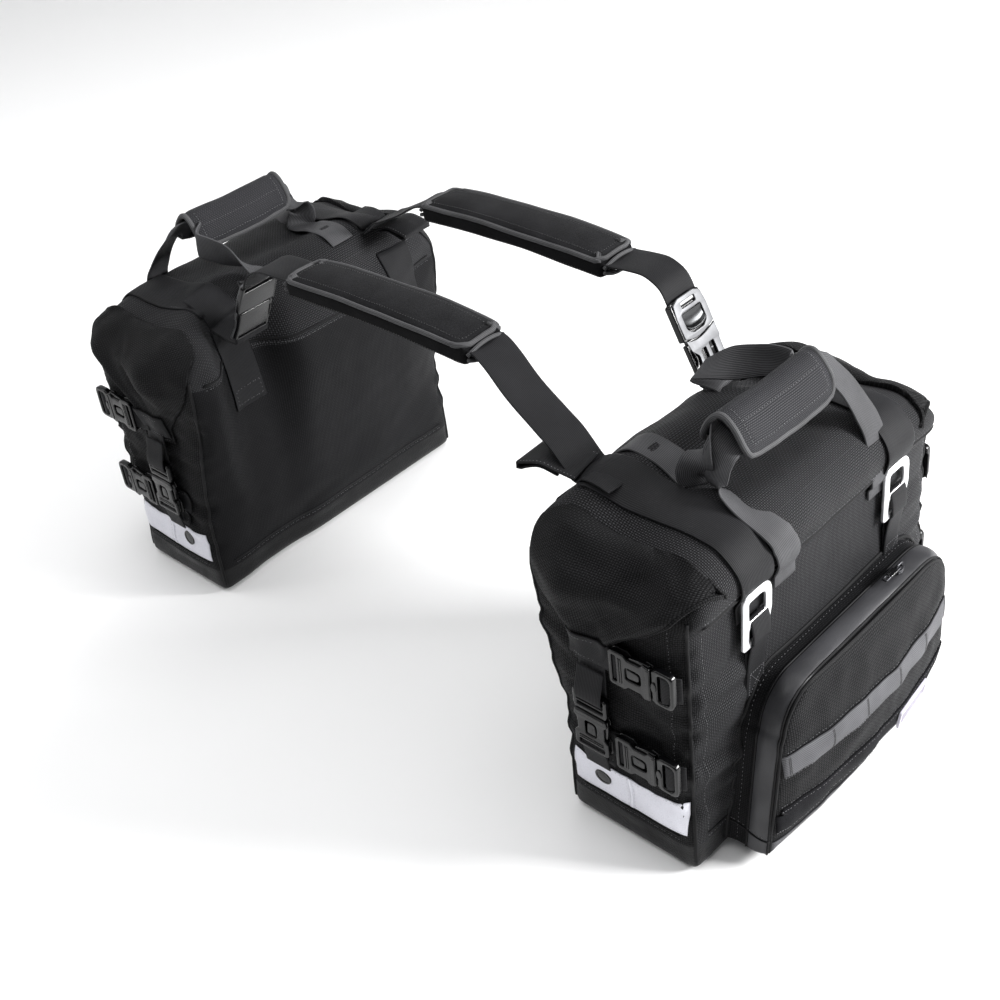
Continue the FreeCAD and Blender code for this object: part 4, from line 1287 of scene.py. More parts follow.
def make_pocket_strips():
    webbing = [
        face_strip("molle_strip", WEB_LOW, WEB_HIGH, "grey", 1.4),
        face_strip("loop_strip", LOOP_LOW, LOOP_HIGH, "loop", 1.2, 2.2),
        face_strip("edge_strip", POCKET_LOW.z + 5, POCKET_LOW.z + 16, "grey", 1.0),
    ]
    pocket_piece(joined("left_pocket_strips", webbing), replaces=("pocket_webbing",), slot="grey_webbing")
    rows = []
    for z in (WEB_LOW - 3, WEB_HIGH + 3, LOOP_LOW + 2, LOOP_HIGH - 2, LOOP_LOW - 3, LOOP_HIGH + 3):
        half = pocket_half_width(z) - 12
        lift = 2.6 if LOOP_LOW < z < LOOP_HIGH else 0.2
        rows.append(FACE_SKIN.run([(x, FACE_Y - 40, z) for x in np.linspace(-half, half, 14)],
                                  TO_BAG, lift, 3.0))
    bars = []
    half = pocket_half_width(WEB_HIGH) - 14
    for x in np.linspace(-half, half, 6):
        for offset in (-0.9, 0.9):
            path = [(x + offset, FACE_Y - 40, z) for z in np.linspace(WEB_LOW + 1.5, WEB_HIGH - 1.5, 6)]
            bars.append(FACE_SKIN.run(path, TO_BAG, 2.4, 1.5))
    pocket_piece(stitches("left_pocket_bartacks", bars, "black_thread", pitch=1.5, length=1.3, radius=0.7),
                 slot="grey_webbing")
    middle = Vector((0, FRONT - 13, POCKET_LOW.z + 70))
    gusset = []
    for place in resample([(x, FRONT - 13, z) for x, z in pocket_outline(-14)][1:-1], 3.0):
        gusset.append(GUSSET_SKIN.drop(place, middle - place, 0.3))
    # The feet of the gusset are reinforced: a seam across it with stitching above.
    seams = []
    for sign in (-1, 1):
        x = sign * (POCKET_BASE_HALF + 60)
        path = [(x, FRONT - reach, POCKET_LOW.z + 30 - 0.2 * reach) for reach in np.linspace(4, 50, 8)]
        line = GUSSET_SKIN.run(path, (-sign, 0, 0), 0.4, 3.0)
        seams.append(cord("foot_seam_%d" % sign, [spot for spot, _ in line], 1.0, "piping", sides=6,
                          smooth_path=False))
        rows.append(GUSSET_SKIN.run([(x, y, z + 3.5) for x, y, z in path], (-sign, 0, 0), 0.3, 3.0))
    pocket_piece(stitches("left_pocket_stitching", rows + [gusset], "grey_thread", radius=0.32),
                 slot="ballistic_nylon")
    rim = [point + Vector((0, 1.5, 0)) for point in FACE_RIM]
    cords = seams + [cord("face_piping", rim, 2.1, "piping", closed=True, sides=7, smooth_path=False)]
    for inset, reach, radius, cloth in ((0.2, 24.6, 1.3, "piping"), (3.4, 48.8, 1.2, "piping")):
        arch = [Vector((x, FRONT - reach, z)) for x, z in pocket_outline(inset)[1:-1]]
        cords.append(cord("band_cord_%d" % reach, arch, radius, cloth, sides=7))
    joint = [SKIN.drop((x, FRONT - 30, z), TO_BAG, 0.6)[0] for x, z in pocket_outline(-3.5)[1:-1]]
    cords.append(cord("gusset_joint", joint, 2.2, "piping", sides=6))
    pocket_piece(joined("left_pocket_piping", cords), slot="ballistic_nylon")


def make_badge():
    """A blank moulded patch on the loop strip, with a raised light rim."""
    low, high = span("left_pocket_badge")
    middle_x, middle_z = (low.x + high.x) / 2, (low.z + high.z) / 2
    spot, normal = FACE_SKIN.drop((middle_x, FACE_Y - 40, middle_z), TO_BAG, 3.6)
    matrix = facing(spot, normal, (1, 0, 0))
    half_x, half_z = (high.x - low.x) / 2, (high.z - low.z) / 2
    field = plate("badge_field", box_loop(-half_x + 2, -half_z + 2, half_x - 2, half_z - 2, 2), [], 2.4, 0.5,
                  "badge", matrix)
    rim = plate("badge_rim", box_loop(-half_x, -half_z, half_x, half_z, 3),
                [box_loop(-half_x + 2.4, -half_z + 2.4, half_x - 2.4, half_z - 2.4, 2)], 3.4, 0.6,
                "badge_rim",
                matrix)
    pocket_piece(joined("left_pocket_patch", [field, rim]), replaces=("pocket_badge",), slot="badge")


POCKET = pocket_gusset()
FACE, FACE_RIM = pocket_face()
subdivided(POCKET)
subdivided(FACE)
FACE_SKIN = Surface(FACE)
GUSSET_SKIN = Surface(POCKET)
make_pocket_strips()
make_badge()
pocket_piece(POCKET, replaces=("front_pocket", "pocket_zip"), slot="ballistic_nylon")
pocket_piece(FACE, slot="ballistic_nylon")


# ================================================================ straps over the top

HUB = Vector((0, -425, 318))
FRONT_STRAP_X = -STRAP_X
BAND = 50


def wrapped(name, surface, stops, width, thickness=2.2, cloth="webbing", step=3.0):
    """A band laid over the top of the bag, square to the X axis.

    Each stop is (angle, x, lift): the angle starts straight out of the front and passes over the top.
    Returns the band and its two rows of edge stitching.
    """
    rings, rows = [], [[], []]
    stop_angles, places, lifts = zip(*stops)
    for angle in np.arange(stop_angles[0], stop_angles[-1] + 0.1, step):
        x, lift = float(np.interp(angle, stop_angles, places)), float(np.interp(angle, stop_angles, lifts))
        turn = math.radians(angle)
        out = Vector((0, -math.cos(turn), math.sin(turn)))
        hits = [surface.drop(Vector((x + share * width, HUB.y, HUB.z)), -out)[0] for share in WEB_SHARES]
        ring = web_ring(hits, out, lift, thickness)
        rings.append(ring)
        # The stitching starts clear of the hook, which slides at the strap's front end.
        if angle > stop_angles[2] + 4:
            rows[0].append((ring[0].lerp(ring[3], 0.12), out))
            rows[1].append((ring[7].lerp(ring[4], 0.12), out))
    middles = [ring[3].lerp(ring[4], 0.5) for ring in rings]
    return web_loft(name, rings, lengths_along(middles), width, cloth), rows


def hung(name, path, ways, crown=0.0):
    """A free strap between two places, with its edge stitching rows."""
    thickness, step = 2.2, 4.0
    band = ribbon(name, path, ways, BAND, thickness, "webbing", step, crown)
    rows = [[], []]
    for point, way, normal in web_ways(resample(path, step), ways):
        for row, share in zip(rows, (-0.44, 0.44)):
            row.append((point + way * share * BAND + normal * (thickness / 2), normal))
    return band, rows


def over_top(angle, x, lift):
    """A place above the bag's surface, as an angle over its top, an X position and a height."""
    turn = math.radians(angle)
    return WRAPPED.drop(Vector((x, HUB.y, HUB.z)), Vector((0, math.cos(turn), -math.sin(turn))), lift)[0]


def make_top_straps():
    bands, rows = [], []
    front_stops = [(-14, FRONT_STRAP_X, 2.6), (2, FRONT_STRAP_X, 2.2), (14, FRONT_STRAP_X, 4.5),
                   (24, FRONT_STRAP_X - 1, 3.5), (40, FRONT_STRAP_X - 3, 2.2), (90, FRONT_STRAP_X - 4, 2.4),
                   (124, FRONT_STRAP_X - 7, 4.0), (132, FRONT_STRAP_X - 9, 5.8),
                   (147, FRONT_STRAP_X - 12, 5.6)]
    band, edge = wrapped("front_top_strap", WRAPPED, front_stops, BAND)
    bands.append(band)
    rows += edge
    rear_stops = [(angle, -x, lift) for angle, x, lift in front_stops]
    rear_stops = rear_stops[:-3] + [(120, STRAP_X + 2, 2.4), (145, STRAP_X, 2.6)]
    band, edge = wrapped("rear_top_strap", WRAPPED, rear_stops, BAND)
    bands.append(band)
    rows += edge
    # Down the back panel the two straps are sewn on as long tails.
    for x in (FRONT_STRAP_X - 13, STRAP_X - 6):
        path = [(x, BACK + 80, z) for z in (RIDGE - 16, 340, 290, 262)]
        bands.append(draped("back_tail_%d" % x, SKIN, path, OUT["back"], BAND, 2.0))
        for z in (268, 288):
            rows.append(SKIN.run([(x + s, BACK + 40, z) for s in (-21, 0, 21)], OUT["back"], 3.4, 3.0))
        for s in (-21, 21):
            rows.append(SKIN.run([(x + s, BACK + 40, z) for z in (268, 278, 288)], OUT["back"], 3.4, 3.0))
    # The folded free end of the front strap stands off towards the seat.
    start = tuple(over_top(146, FRONT_STRAP_X - 11, 7.0))
    folded = [start, (FRONT_STRAP_X - 15, start[1] + 20, start[2] + 4),
              (FRONT_STRAP_X - 19, start[1] + 38, start[2] + 8),
              (FRONT_STRAP_X - 23, -238, 408), (FRONT_STRAP_X - 24, -233, 405),
              (FRONT_STRAP_X - 23, -238, 402),
              (FRONT_STRAP_X - 19, start[1] + 38, start[2] + 4),
              (FRONT_STRAP_X - 15, start[1] + 20, start[2])]
    band, edge = hung("folded_end", folded, [(1, 0.05, 0)] * 3)
    bands.append(band)
    rows += edge
    piece(joined("left_top_webbing", bands), "bag", replaces=("top_straps", "sewn_webbing"), slot="webbing")
    piece(stitches("left_top_webbing_stitching", rows, "grey_thread", radius=0.32), "bag", slot="webbing")


def make_drop_straps():
    """From the pads down to the bag: the front one is plain, the rear one runs to the latch."""
    x = -PAD_X
    path = [(x, PAD_END + 8, 486), (x, PAD_END - 4, 485), (x - 4, -172, 476), (x - 11, -205, 456),
            (x - 16, -243, 436), (x - 20, -268, 424)]
    path += [tuple(over_top(angle, x - 24 - k, 2.6)) for k, angle in enumerate((147, 142, 137, 132))]
    band, rows = hung("left_front_drop", path, [(1, 0, 0), (1, 0, 0), (1, -0.04, 0), (1, 0, 0)], crown=0.8)
    start, end = (x, PAD_END - 6, 485), (x - 24, -262, 418)
    piece(band, blend=("yoke", "bag"), start=start, end=end, replaces=("yoke_straps",), slot="webbing")
    piece(stitches("left_front_drop_stitching", rows, "grey_thread", radius=0.32), blend=("yoke", "bag"),
          start=start, end=end, slot="webbing")
    top = LATCH @ Vector((0, 2.2, 46))
    over = LATCH @ Vector((0, 2.2, 56))
    path = [(PAD_X, PAD_END + 8, 486), (PAD_X, PAD_END - 4, 486), (PAD_X + 2, -174, 487),
            (PAD_X + 4, -193, 486),
            (PAD_X + 5, -207, 480), (PAD_X + 6, -215, 473), tuple(over), tuple(top)]
    band, rows = hung("left_rear_drop", path, [(1, 0, 0)] * 3, crown=0.6)
    start, end = (PAD_X, PAD_END - 6, 485), (PAD_X + 5, -200, 465)
    piece(band, blend=("yoke", "bag"), start=start, end=end, slot="webbing")
    piece(stitches("left_rear_drop_stitching", rows, "grey_thread", radius=0.32), blend=("yoke", "bag"),
          start=start, end=end, slot="webbing")
    bottom = LATCH @ Vector((0, 1.5, -44))
    below = LATCH @ Vector((0, 1.5, -54))
    path = [tuple(bottom), tuple(below)]
    path += [tuple(over_top(angle, LATCH_X + 2 + 2 * k, 5.5))
             for k, angle in enumerate((153, 149, 144, 137, 130))]
    band, rows = hung("left_latch_webbing", path, [(1, 0, 0)] * 3)
    start, end = path[4], tuple(below)
    piece(band, blend=("bag", "latch_insert"), start=start, end=end, slot="webbing")


# ================================================================ G hooks and their anchors

HOOK_TALL = 67


def hook_frame(x_low):
    """From a hook's own plane (x across, y up, z out) to its place on the front panel."""
    matrix = Matrix(((1, 0, 0), (0, 0, -1), (0, 1, 0))).to_4x4()
    matrix.translation = (x_low, (HOOK_LOW.y + HOOK_HIGH.y) / 2, HOOK_HIGH.z - HOOK_TALL)
    return matrix


def make_hook(name, x_low):
    """A die-cast G hook: closed slot above, open mouth below, with a small nose at the mouth."""
    outline = [(0, 0, 3.5), (34, 0, 3), (36, 7, 2.4), (9.5, 7, 3.5), (10.5, 25, 4), (39, 25, 4),
               (40.5, 17, 1.2),
               (44.5, 17, 1.2), (48, 31, 6), (48, HOOK_TALL, 20), (1.5, HOOK_TALL, 9)]
    slot_top = HOOK_TALL - 10
    slot = [(10, 34, 3), (38.5, 34, 4), (38.5, slot_top, 11), (10, slot_top, 3)]
    hook = plate("left_%s_metal" % name, outline, [slot], 4.6, 1.7, "hook", hook_frame(x_low), 4)
    piece(hook, name, replaces=(name,), slot="hook_metal")


def make_anchor(sign):
    """The doubled webbing loop a hook's mouth closes on, sewn down to the pocket with crossed stitching."""
    middle = sign * STRAP_X + 2
    width = 29
    base = SKIN.drop((middle, -600, 215), OUT["front"])[0].y
    plane = (HOOK_LOW.y + HOOK_HIGH.y) / 2
    low_bar = HOOK_HIGH.z - HOOK_TALL + 4
    out_path = [(middle, base - 1.8, 196), (middle, base - 2.2, 216), (middle, plane + 1.5, 244),
                (middle, plane - 2.2, low_bar - 5), (middle, plane - 5.2, low_bar),
                (middle, plane - 5.0, low_bar + 14),
                (middle, plane - 2.0, low_bar + 27), (middle, plane + 2.0, low_bar + 30),
                (middle, plane + 5.0, low_bar + 14), (middle, plane + 4.4, 246), (middle, base - 0.6, 214)]
    band = ribbon("anchor_band", out_path, [(1, 0, 0)], width, 2.0, "webbing", 3.0)
    low, high = 199, 229

    def spot(share, z):
        y = float(np.interp(z, [196, 216, 238], [base - 3.1, base - 3.4, plane + 0.2]))
        return (Vector((middle + share * width, y, z)), Vector((0, -1, 0)))

    rows = [[spot(-0.4, low), spot(0.4, low)], [spot(0.4, low), spot(0.4, high)],
            [spot(0.4, high), spot(-0.4, high)],
            [spot(-0.4, high), spot(-0.4, low)], [spot(-0.4, low), spot(0.4, high)],
            [spot(0.4, low), spot(-0.4, high)]]
    return band, rows


def make_hooks():
    span_low = {"hook_front": HOOK_LOW.x, "hook_rear": -HOOK_HIGH.x}
    for name, x_low in span_low.items():
        make_hook(name, x_low)
    bands, rows = [], []
    for sign in (-1, 1):
        band, edge = make_anchor(sign)
        bands.append(band)
        rows += edge
    piece(joined("left_hook_anchors", bands), "bag", slot="webbing")
    piece(stitches("left_anchor_stitching", rows, "grey_thread", radius=0.32), "bag", slot="webbing")


# ================================================================ carry handle

GRIP_HALF = (GRIP_HIGH.x - GRIP_LOW.x) / 2
GRIP_Y = (GRIP_LOW.y + GRIP_HIGH.y) / 2


def grip_line(share):
    """The grip's cross-section from its front edge (0) over the top to its back edge (1): (y, z, outward)."""
    knots = [(GRIP_Y - 27, 431), (GRIP_Y - 23, 447), (GRIP_Y - 13, 464), (GRIP_Y - 1, 474), (GRIP_Y + 9, 471),
             (GRIP_Y + 18, 459), (GRIP_Y + 24, 445), (GRIP_Y + 27, 434)]
    control = [Vector(knot) for knot in knots]
    place = share * (len(control) - 1)
    first = min(int(place), len(control) - 2)
    slope = (control[first + 1] - control[first]).normalized()
    return spline(control, first, place - first), Vector((-slope.y, slope.x))


def grip_point(share, along, lift):
    """share 0-1 across the folded sheet, along -1 to 1 down its length, lift outwards in millimetres."""
    point, out = grip_line(share)
    corner = max(0.0, abs(2 * share - 1) - 0.62) / 0.38
    reach = GRIP_HALF - 1.5 - 20 * (1 - math.sqrt(max(0.0, 1 - corner * corner)))
    x = reach * along
    sag = -2.5 * (1 - along * along) + 1.5 * noise.noise(Vector((x / 30.0, share * 3.0, 1.0)))
    lean = 5.0 * along
    return Vector((x, point.x + out.x * lift - lean * 0.4, point.y + out.y * lift + sag))


def make_grip():
    across, down = 26, 40
    outer, inner = [], []
    for part in range(down + 1):
        along = 2 * part / down - 1
        over, under = [], []
        for step in range(across + 1):
            share = step / across
            rim = min(1.0, (1 - abs(along)) * 7.0, min(share, 1 - share) * 9.0 + 0.02)
            seam_line = math.exp(
                -((min((1 - abs(along)) * GRIP_HALF, min(share, 1 - share) * 95) - 9) / 2.2) ** 2)
            puff = 3.6 * math.sqrt(rim) - 1.3 * seam_line
            over.append(grip_point(share, along, puff))
            under.append(grip_point(share, along, -2.6 * math.sqrt(rim)))
        outer.append(over)
        inner.append(under)
    grip, rim = closed_sheet("left_grip_sheet", outer, inner, "grip",
                             lambda row, column: (row / down * 2 * GRIP_HALF, column / across * 100),
                             flip=True)
    subdivided(grip)
    edge = [front.lerp(back, 0.5) for front, back in rim]
    binding = cord("left_grip_binding", edge, 3.5, "binding", closed=True, sides=8, flat=1.0,
                   smooth_path=False)
    rows = []
    for share in (0.12, 0.30, 0.70, 0.88):
        rows.append([(grip_point(share, along, 3.4), Vector((0, *grip_line(share)[1])))
                     for along in np.linspace(-0.84, 0.84, 30)])
    for along in (-0.85, 0.85):
        rows.append([(grip_point(share, along, 3.4), Vector((0, *grip_line(share)[1])))
                     for share in np.linspace(0.14, 0.86, 24)])
    piece(grip, "handle", replaces=("handle_grip",), slot="grip_fabric")
    piece(binding, "handle", slot="binding")
    piece(stitches("left_grip_stitching", rows, "grey_thread", radius=0.3), "handle", slot="grip_fabric")


def make_handle_webbing():
    """Two webbing loops from the front and back seams up into the grip."""
    inside = 450

    def foot(stations, lift):
        """Places on the bag's surface for (angle over the top, x)."""
        return [tuple(over_top(angle, x, lift)) for angle, x in stations]

    near = foot([(-8, -74), (6, -74), (15, -75), (24, -79), (34, -84), (46, -89)], 4.2)
    far = foot([(-8, 98), (4, 98), (13, 98)], 2.6)
    loops = {
        "front_near": (near + [(-96, -430, 406), (-94, -424, 424), (-84, -423, 441), (-62, -424, inside)],
                       [(1, 0, 0), (1, 0, 0), (1, 0, 0), (1, 0.1, 0), (0.9, 0.4, 0), (0.6, 0.8, 0),
                        (0.3, 0.95, 0.1),
                        (0.1, 0.95, 0.3), (0, 0.8, 0.6)]),
        "front_far": (far + [(99, -480, 380), (98, -464, 408), (93, -446, 434), (80, -432, 452),
                             (62, -426, inside)],
                      [(1, 0, 0), (1, 0, 0), (1, 0, 0), (0.9, 0.2, 0.2), (0.6, 0.5, 0.5), (0.2, 0.7, 0.7),
                       (0, 0.5, 0.85)]),
        "back_near": (foot([(146, -80), (138, -80), (128, -82), (116, -86), (106, -90)], 2.8)
                      + [(-95, -398, 412), (-92, -404, 428), (-80, -406, 440), (-60, -408, inside)],
                      [(1, 0, 0), (1, 0, 0), (1, 0, 0), (1, -0.1, 0), (0.8, -0.5, 0), (0.4, -0.8, 0.3),
                       (0.1, -0.5, 0.8), (0, 0.3, 0.95)]),
        "back_far": (foot([(146, 64), (140, 62)], 2.8)
                     + [(58, -290, 412), (60, -304, 422), (68, -336, 434), (78, -368, 442), (80, -394, 444),
                        (62, -408, inside)],
                     [(1, 0, 0), (1, 0, 0), (0.9, 0.2, 0.2), (0.6, -0.3, 0.7), (0.1, 0.1, 0.95),
                      (0, 0.1, 0.95),
                      (0, 0.3, 0.95)]),
    }
    bands = [ribbon("handle_" + name, path, ways, 36, 2.2, "handle", 3.5, 0.5)
             for name, (path, ways) in loops.items()]
    webbing = joined("left_handle_webbing", bands)
    piece(webbing, blend=("bag", "handle"), start=(0, GRIP_Y, 405), end=(0, GRIP_Y, 447),
          replaces=("carry_handle",), slot="webbing")


make_top_straps()
make_drop_straps()
make_hooks()
make_grip()
make_handle_webbing()


# ================================================================ shoulder pads over the seat

def pad_arch(y):
    """The pad droops a little towards both ends."""
    return -7.0 * (abs(y) / -PAD_END) ** 2.4 + 1.5


def pad_point(a, b, c):
    half = (PAD_WIDTH / 2 - 3, -PAD_END - 4, (PAD_TOP - PAD_BASE) / 2 - 1.5)
    point = rounded(a, b, c, half, 5.5)
    taper = 1 - 0.10 * abs(b) ** 5
    crown = 3.2 * (1 - a * a) * (1 - b ** 8) if c > 0 else 0.0
    waist = 1 - 0.025 * (1 - abs(b)) * (c <= 0)
    z = point.z + (PAD_TOP + PAD_BASE) / 2 + crown * max(0.0, c)
    return (-PAD_X + point.x * taper * waist, point.y, z + pad_arch(point.y))


def pad_cloth(side, _):
    return 0 if side == "+z" else 1


def make_pad():
    counts = (12, 56, 6)
    pad = soft_box("left_pad", counts, pad_point, ["felt", "side"], pad_cloth,
                   (PAD_WIDTH, -2 * PAD_END, PAD_TOP - PAD_BASE))
    points = vertices_mm(pad)
    edge_low = points[:, 2] < PAD_BASE + 3
    ends = np.abs(points[:, 1]) > -PAD_END - 9
    inflate(pad, 2.0, 4.0, edge_low | ends)
    subdivided(pad)
    wrinkle(pad, 1.3, None, 34.0, (1.0, 0.6, 1.0), 5.0)
    piece(pad, "yoke", replaces=("yoke_pads",), slot="pad_felt")
    surface = Surface(pad)
    half_x, half_y = PAD_WIDTH / 2 - 5, -PAD_END - 7

    def rim(inset, z, way, lift, corner=14):
        loop = round_loop([(-half_x + inset, -half_y + inset, corner),
                           (half_x - inset, -half_y + inset, corner),
                           (half_x - inset, half_y - inset, corner),
                           (-half_x + inset, half_y - inset, corner)], 6)
        dense = resample([(x, y, z) for x, y in loop] + [(loop[0][0], loop[0][1], z)], 4.0)[:-1]
        out = []
        for place in dense:
            squeeze = 1 - 0.10 * abs(place.y / half_y) ** 5
            at = Vector((-PAD_X + place.x * squeeze, place.y, place.z))
            out.append(surface.drop(at, way, lift) if way else (at, Vector((0, 0, 1))))
        return out

    top_rim = rim(0.0, 560, (0, 0, -1), 0.4)
    top_binding = cord("top_binding", [spot for spot, _ in top_rim], 3.2, "binding", closed=True, sides=8,
                       flat=0.8, smooth_path=False)
    bottom_rim = rim(0.5, 400, (0, 0, 1), -1.0)
    bottom_binding = cord("bottom_binding", [spot for spot, _ in bottom_rim], 1.8, "piping", closed=True,
                          sides=7,
                          smooth_path=False)
    parts = [top_binding, bottom_binding]
    # Each end is open: two bound lips that meet at one corner, with the webbing between them.
    for sign in (-1, 1):
        y = sign * (-PAD_END - 2)
        drop = pad_arch(y)
        for lift, bow in ((6, 5.0), (-7, -4.0)):
            lip = [(-PAD_X - 27, y, 486 + drop + lift * 0.4),
                   (-PAD_X - 14, y + sign * 1.5, 486 + drop + lift * 0.8 + bow * 0.5),
                   (-PAD_X, y + sign * 2, 486 + drop + lift * 0.9 + bow * 0.7),
                   (-PAD_X + 14, y + sign * 1.5, 486 + drop + lift * 0.8 + bow * 0.5),
                   (-PAD_X + 27, y, 486 + drop + lift * 0.4)]
            parts.append(cord("lip_%d_%d" % (sign, lift), lip, 2.4, "binding", sides=7))
    piece(joined("left_pad_binding", parts), "yoke", slot="binding")
    inset = rim(9.0, 560, (0, 0, -1), 0.3, 10)
    row = inset + [inset[0]]
    low_row = []
    for sign in (-1, 1):
        path = [(-PAD_X + sign * 60, y, PAD_BASE + 5 + pad_arch(y))
                for y in np.linspace(PAD_END + 12, -PAD_END - 12, 20)]
        low_row.append(surface.run(path, (-sign, 0, 0), 0.2, 4.0))
    piece(stitches("left_pad_stitching", [row] + low_row, "black_thread", radius=0.4), "yoke",
          slot="pad_felt")
    # The webbing carries on through the pad and shows at both of its ends.
    through = [(-PAD_X, y, 486 + 0.5 * pad_arch(y)) for y in np.linspace(PAD_END - 2, -PAD_END + 2, 9)]
    band = ribbon("left_pad_strap", through, [(1, 0, 0)], BAND, 2.2, "webbing", 8.0)
    piece(band, "yoke", slot="webbing")


make_pad()


# ================================================================ side-release buckles and the end webbing

SLOPE = {"front": -1, "rear": 1}


def buckle_frame(mouth, along, out):
    """A buckle's own frame at its mouth: x across, y towards the tongue's webbing, z outwards."""
    along, out = Vector(along), Vector(out)
    matrix = Matrix((along.cross(out), along, out)).transposed().to_4x4()
    matrix.translation = mouth
    return matrix


def socket_parts(matrix):
    """The socket: two ribbed shells with side windows for the prongs and a bar for its webbing."""
    shell = [(-20, 0, 2.5), (20, 0, 2.5), (22, -8, 2), (17.5, -12, 2), (17.5, -27, 2), (22, -32, 2.5),
             (22, -51, 5),
             (-22, -51, 5), (-22, -32, 2.5), (-17.5, -27, 2), (-17.5, -12, 2), (-22, -8, 2)]
    bar = box_loop(-17, -47, 17, -41.5, 1.5)
    thumb = box_loop(-8, -31, 8, -11, 5)
    core = [(-19, -29, 2), (19, -29, 2), (21, -50, 4), (-21, -50, 4)]
    ribs = [box_loop(-16, place - 0.8, 16, place + 0.8, 0.7) for place in (-35.5, -38.0)]
    spring = [(-6, -29, 3), (6, -29, 3), (4.5, -14, 3), (-4.5, -14, 3)]
    lip = [(-19, -0.5, 1.5), (19, -0.5, 1.5), (18, -4.5, 1.5), (-18, -4.5, 1.5)]
    return layers("plastic", matrix, [
        (shell, [bar, thumb], 3.6, 1.3, 3.6), (shell, [bar], 3.2, 1.0, -3.6), (core, [bar], 6.0, 0.8, 0),
        (ribs[0], [], 1.8, 0.6, 5.4), (ribs[1], [], 1.8, 0.6, 5.4), (spring, [], 2.6, 0.9, 3.2),
        (lip, [], 1.6, 0.7, 5.3)])


def tongue_parts(matrix, ladder):
    """The tongue: a looped base with a round boss, a centre guide and two sprung prongs."""
    if ladder:
        base = [(-20, 0.8, 2), (20, 0.8, 2), (22, 6, 3), (22, 27, 4), (-22, 27, 4), (-22, 6, 3)]
        holes = [box_loop(-17, 7, 17, 11.5, 1.2), box_loop(-17, 14, 17, 18.5, 1.2),
                 box_loop(-17, 21, 17, 24, 1.0)]
    else:
        base = [(-19, 0.8, 2), (19, 0.8, 2), (22, 6, 4), (22, 27, 8), (-22, 27, 8), (-22, 6, 4)]
        holes = [[(-16.5, 8, 4), (16.5, 8, 4), (17.5, 22.5, 6), (-17.5, 22.5, 6)]]
    prong = [(-21.5, -2, 1.5), (-15, -2, 1.5), (-14, -16, 2), (-15.5, -29, 2.5), (-19.5, -27, 2),
             (-21.5, -14, 3)]
    other_prong = [(-x, y, radius) for x, y, radius in reversed(prong)]
    guide = [(-3.5, 1, 1), (3.5, 1, 1), (3, -24, 2), (-3, -24, 2)]
    stack = [(base, holes, 8.4, 1.9, 0), (prong, [], 5.0, 1.3, 0), (other_prong, [], 5.0, 1.3, 0),
             (guide, [], 4.4, 1.0, 0)]
    if not ladder:
        boss = [(6.5 * math.cos(t), 4.2 + 3.2 * math.sin(t), 0) for t in np.linspace(0, 2 * math.pi, 17)[:-1]]
        stack += [(box_loop(-19, 13, 19, 17, 1.5), [], 4.6, 1.4, -0.6), (boss, [], 2.4, 0.9, 4.4)]
    return layers("plastic", matrix, stack)


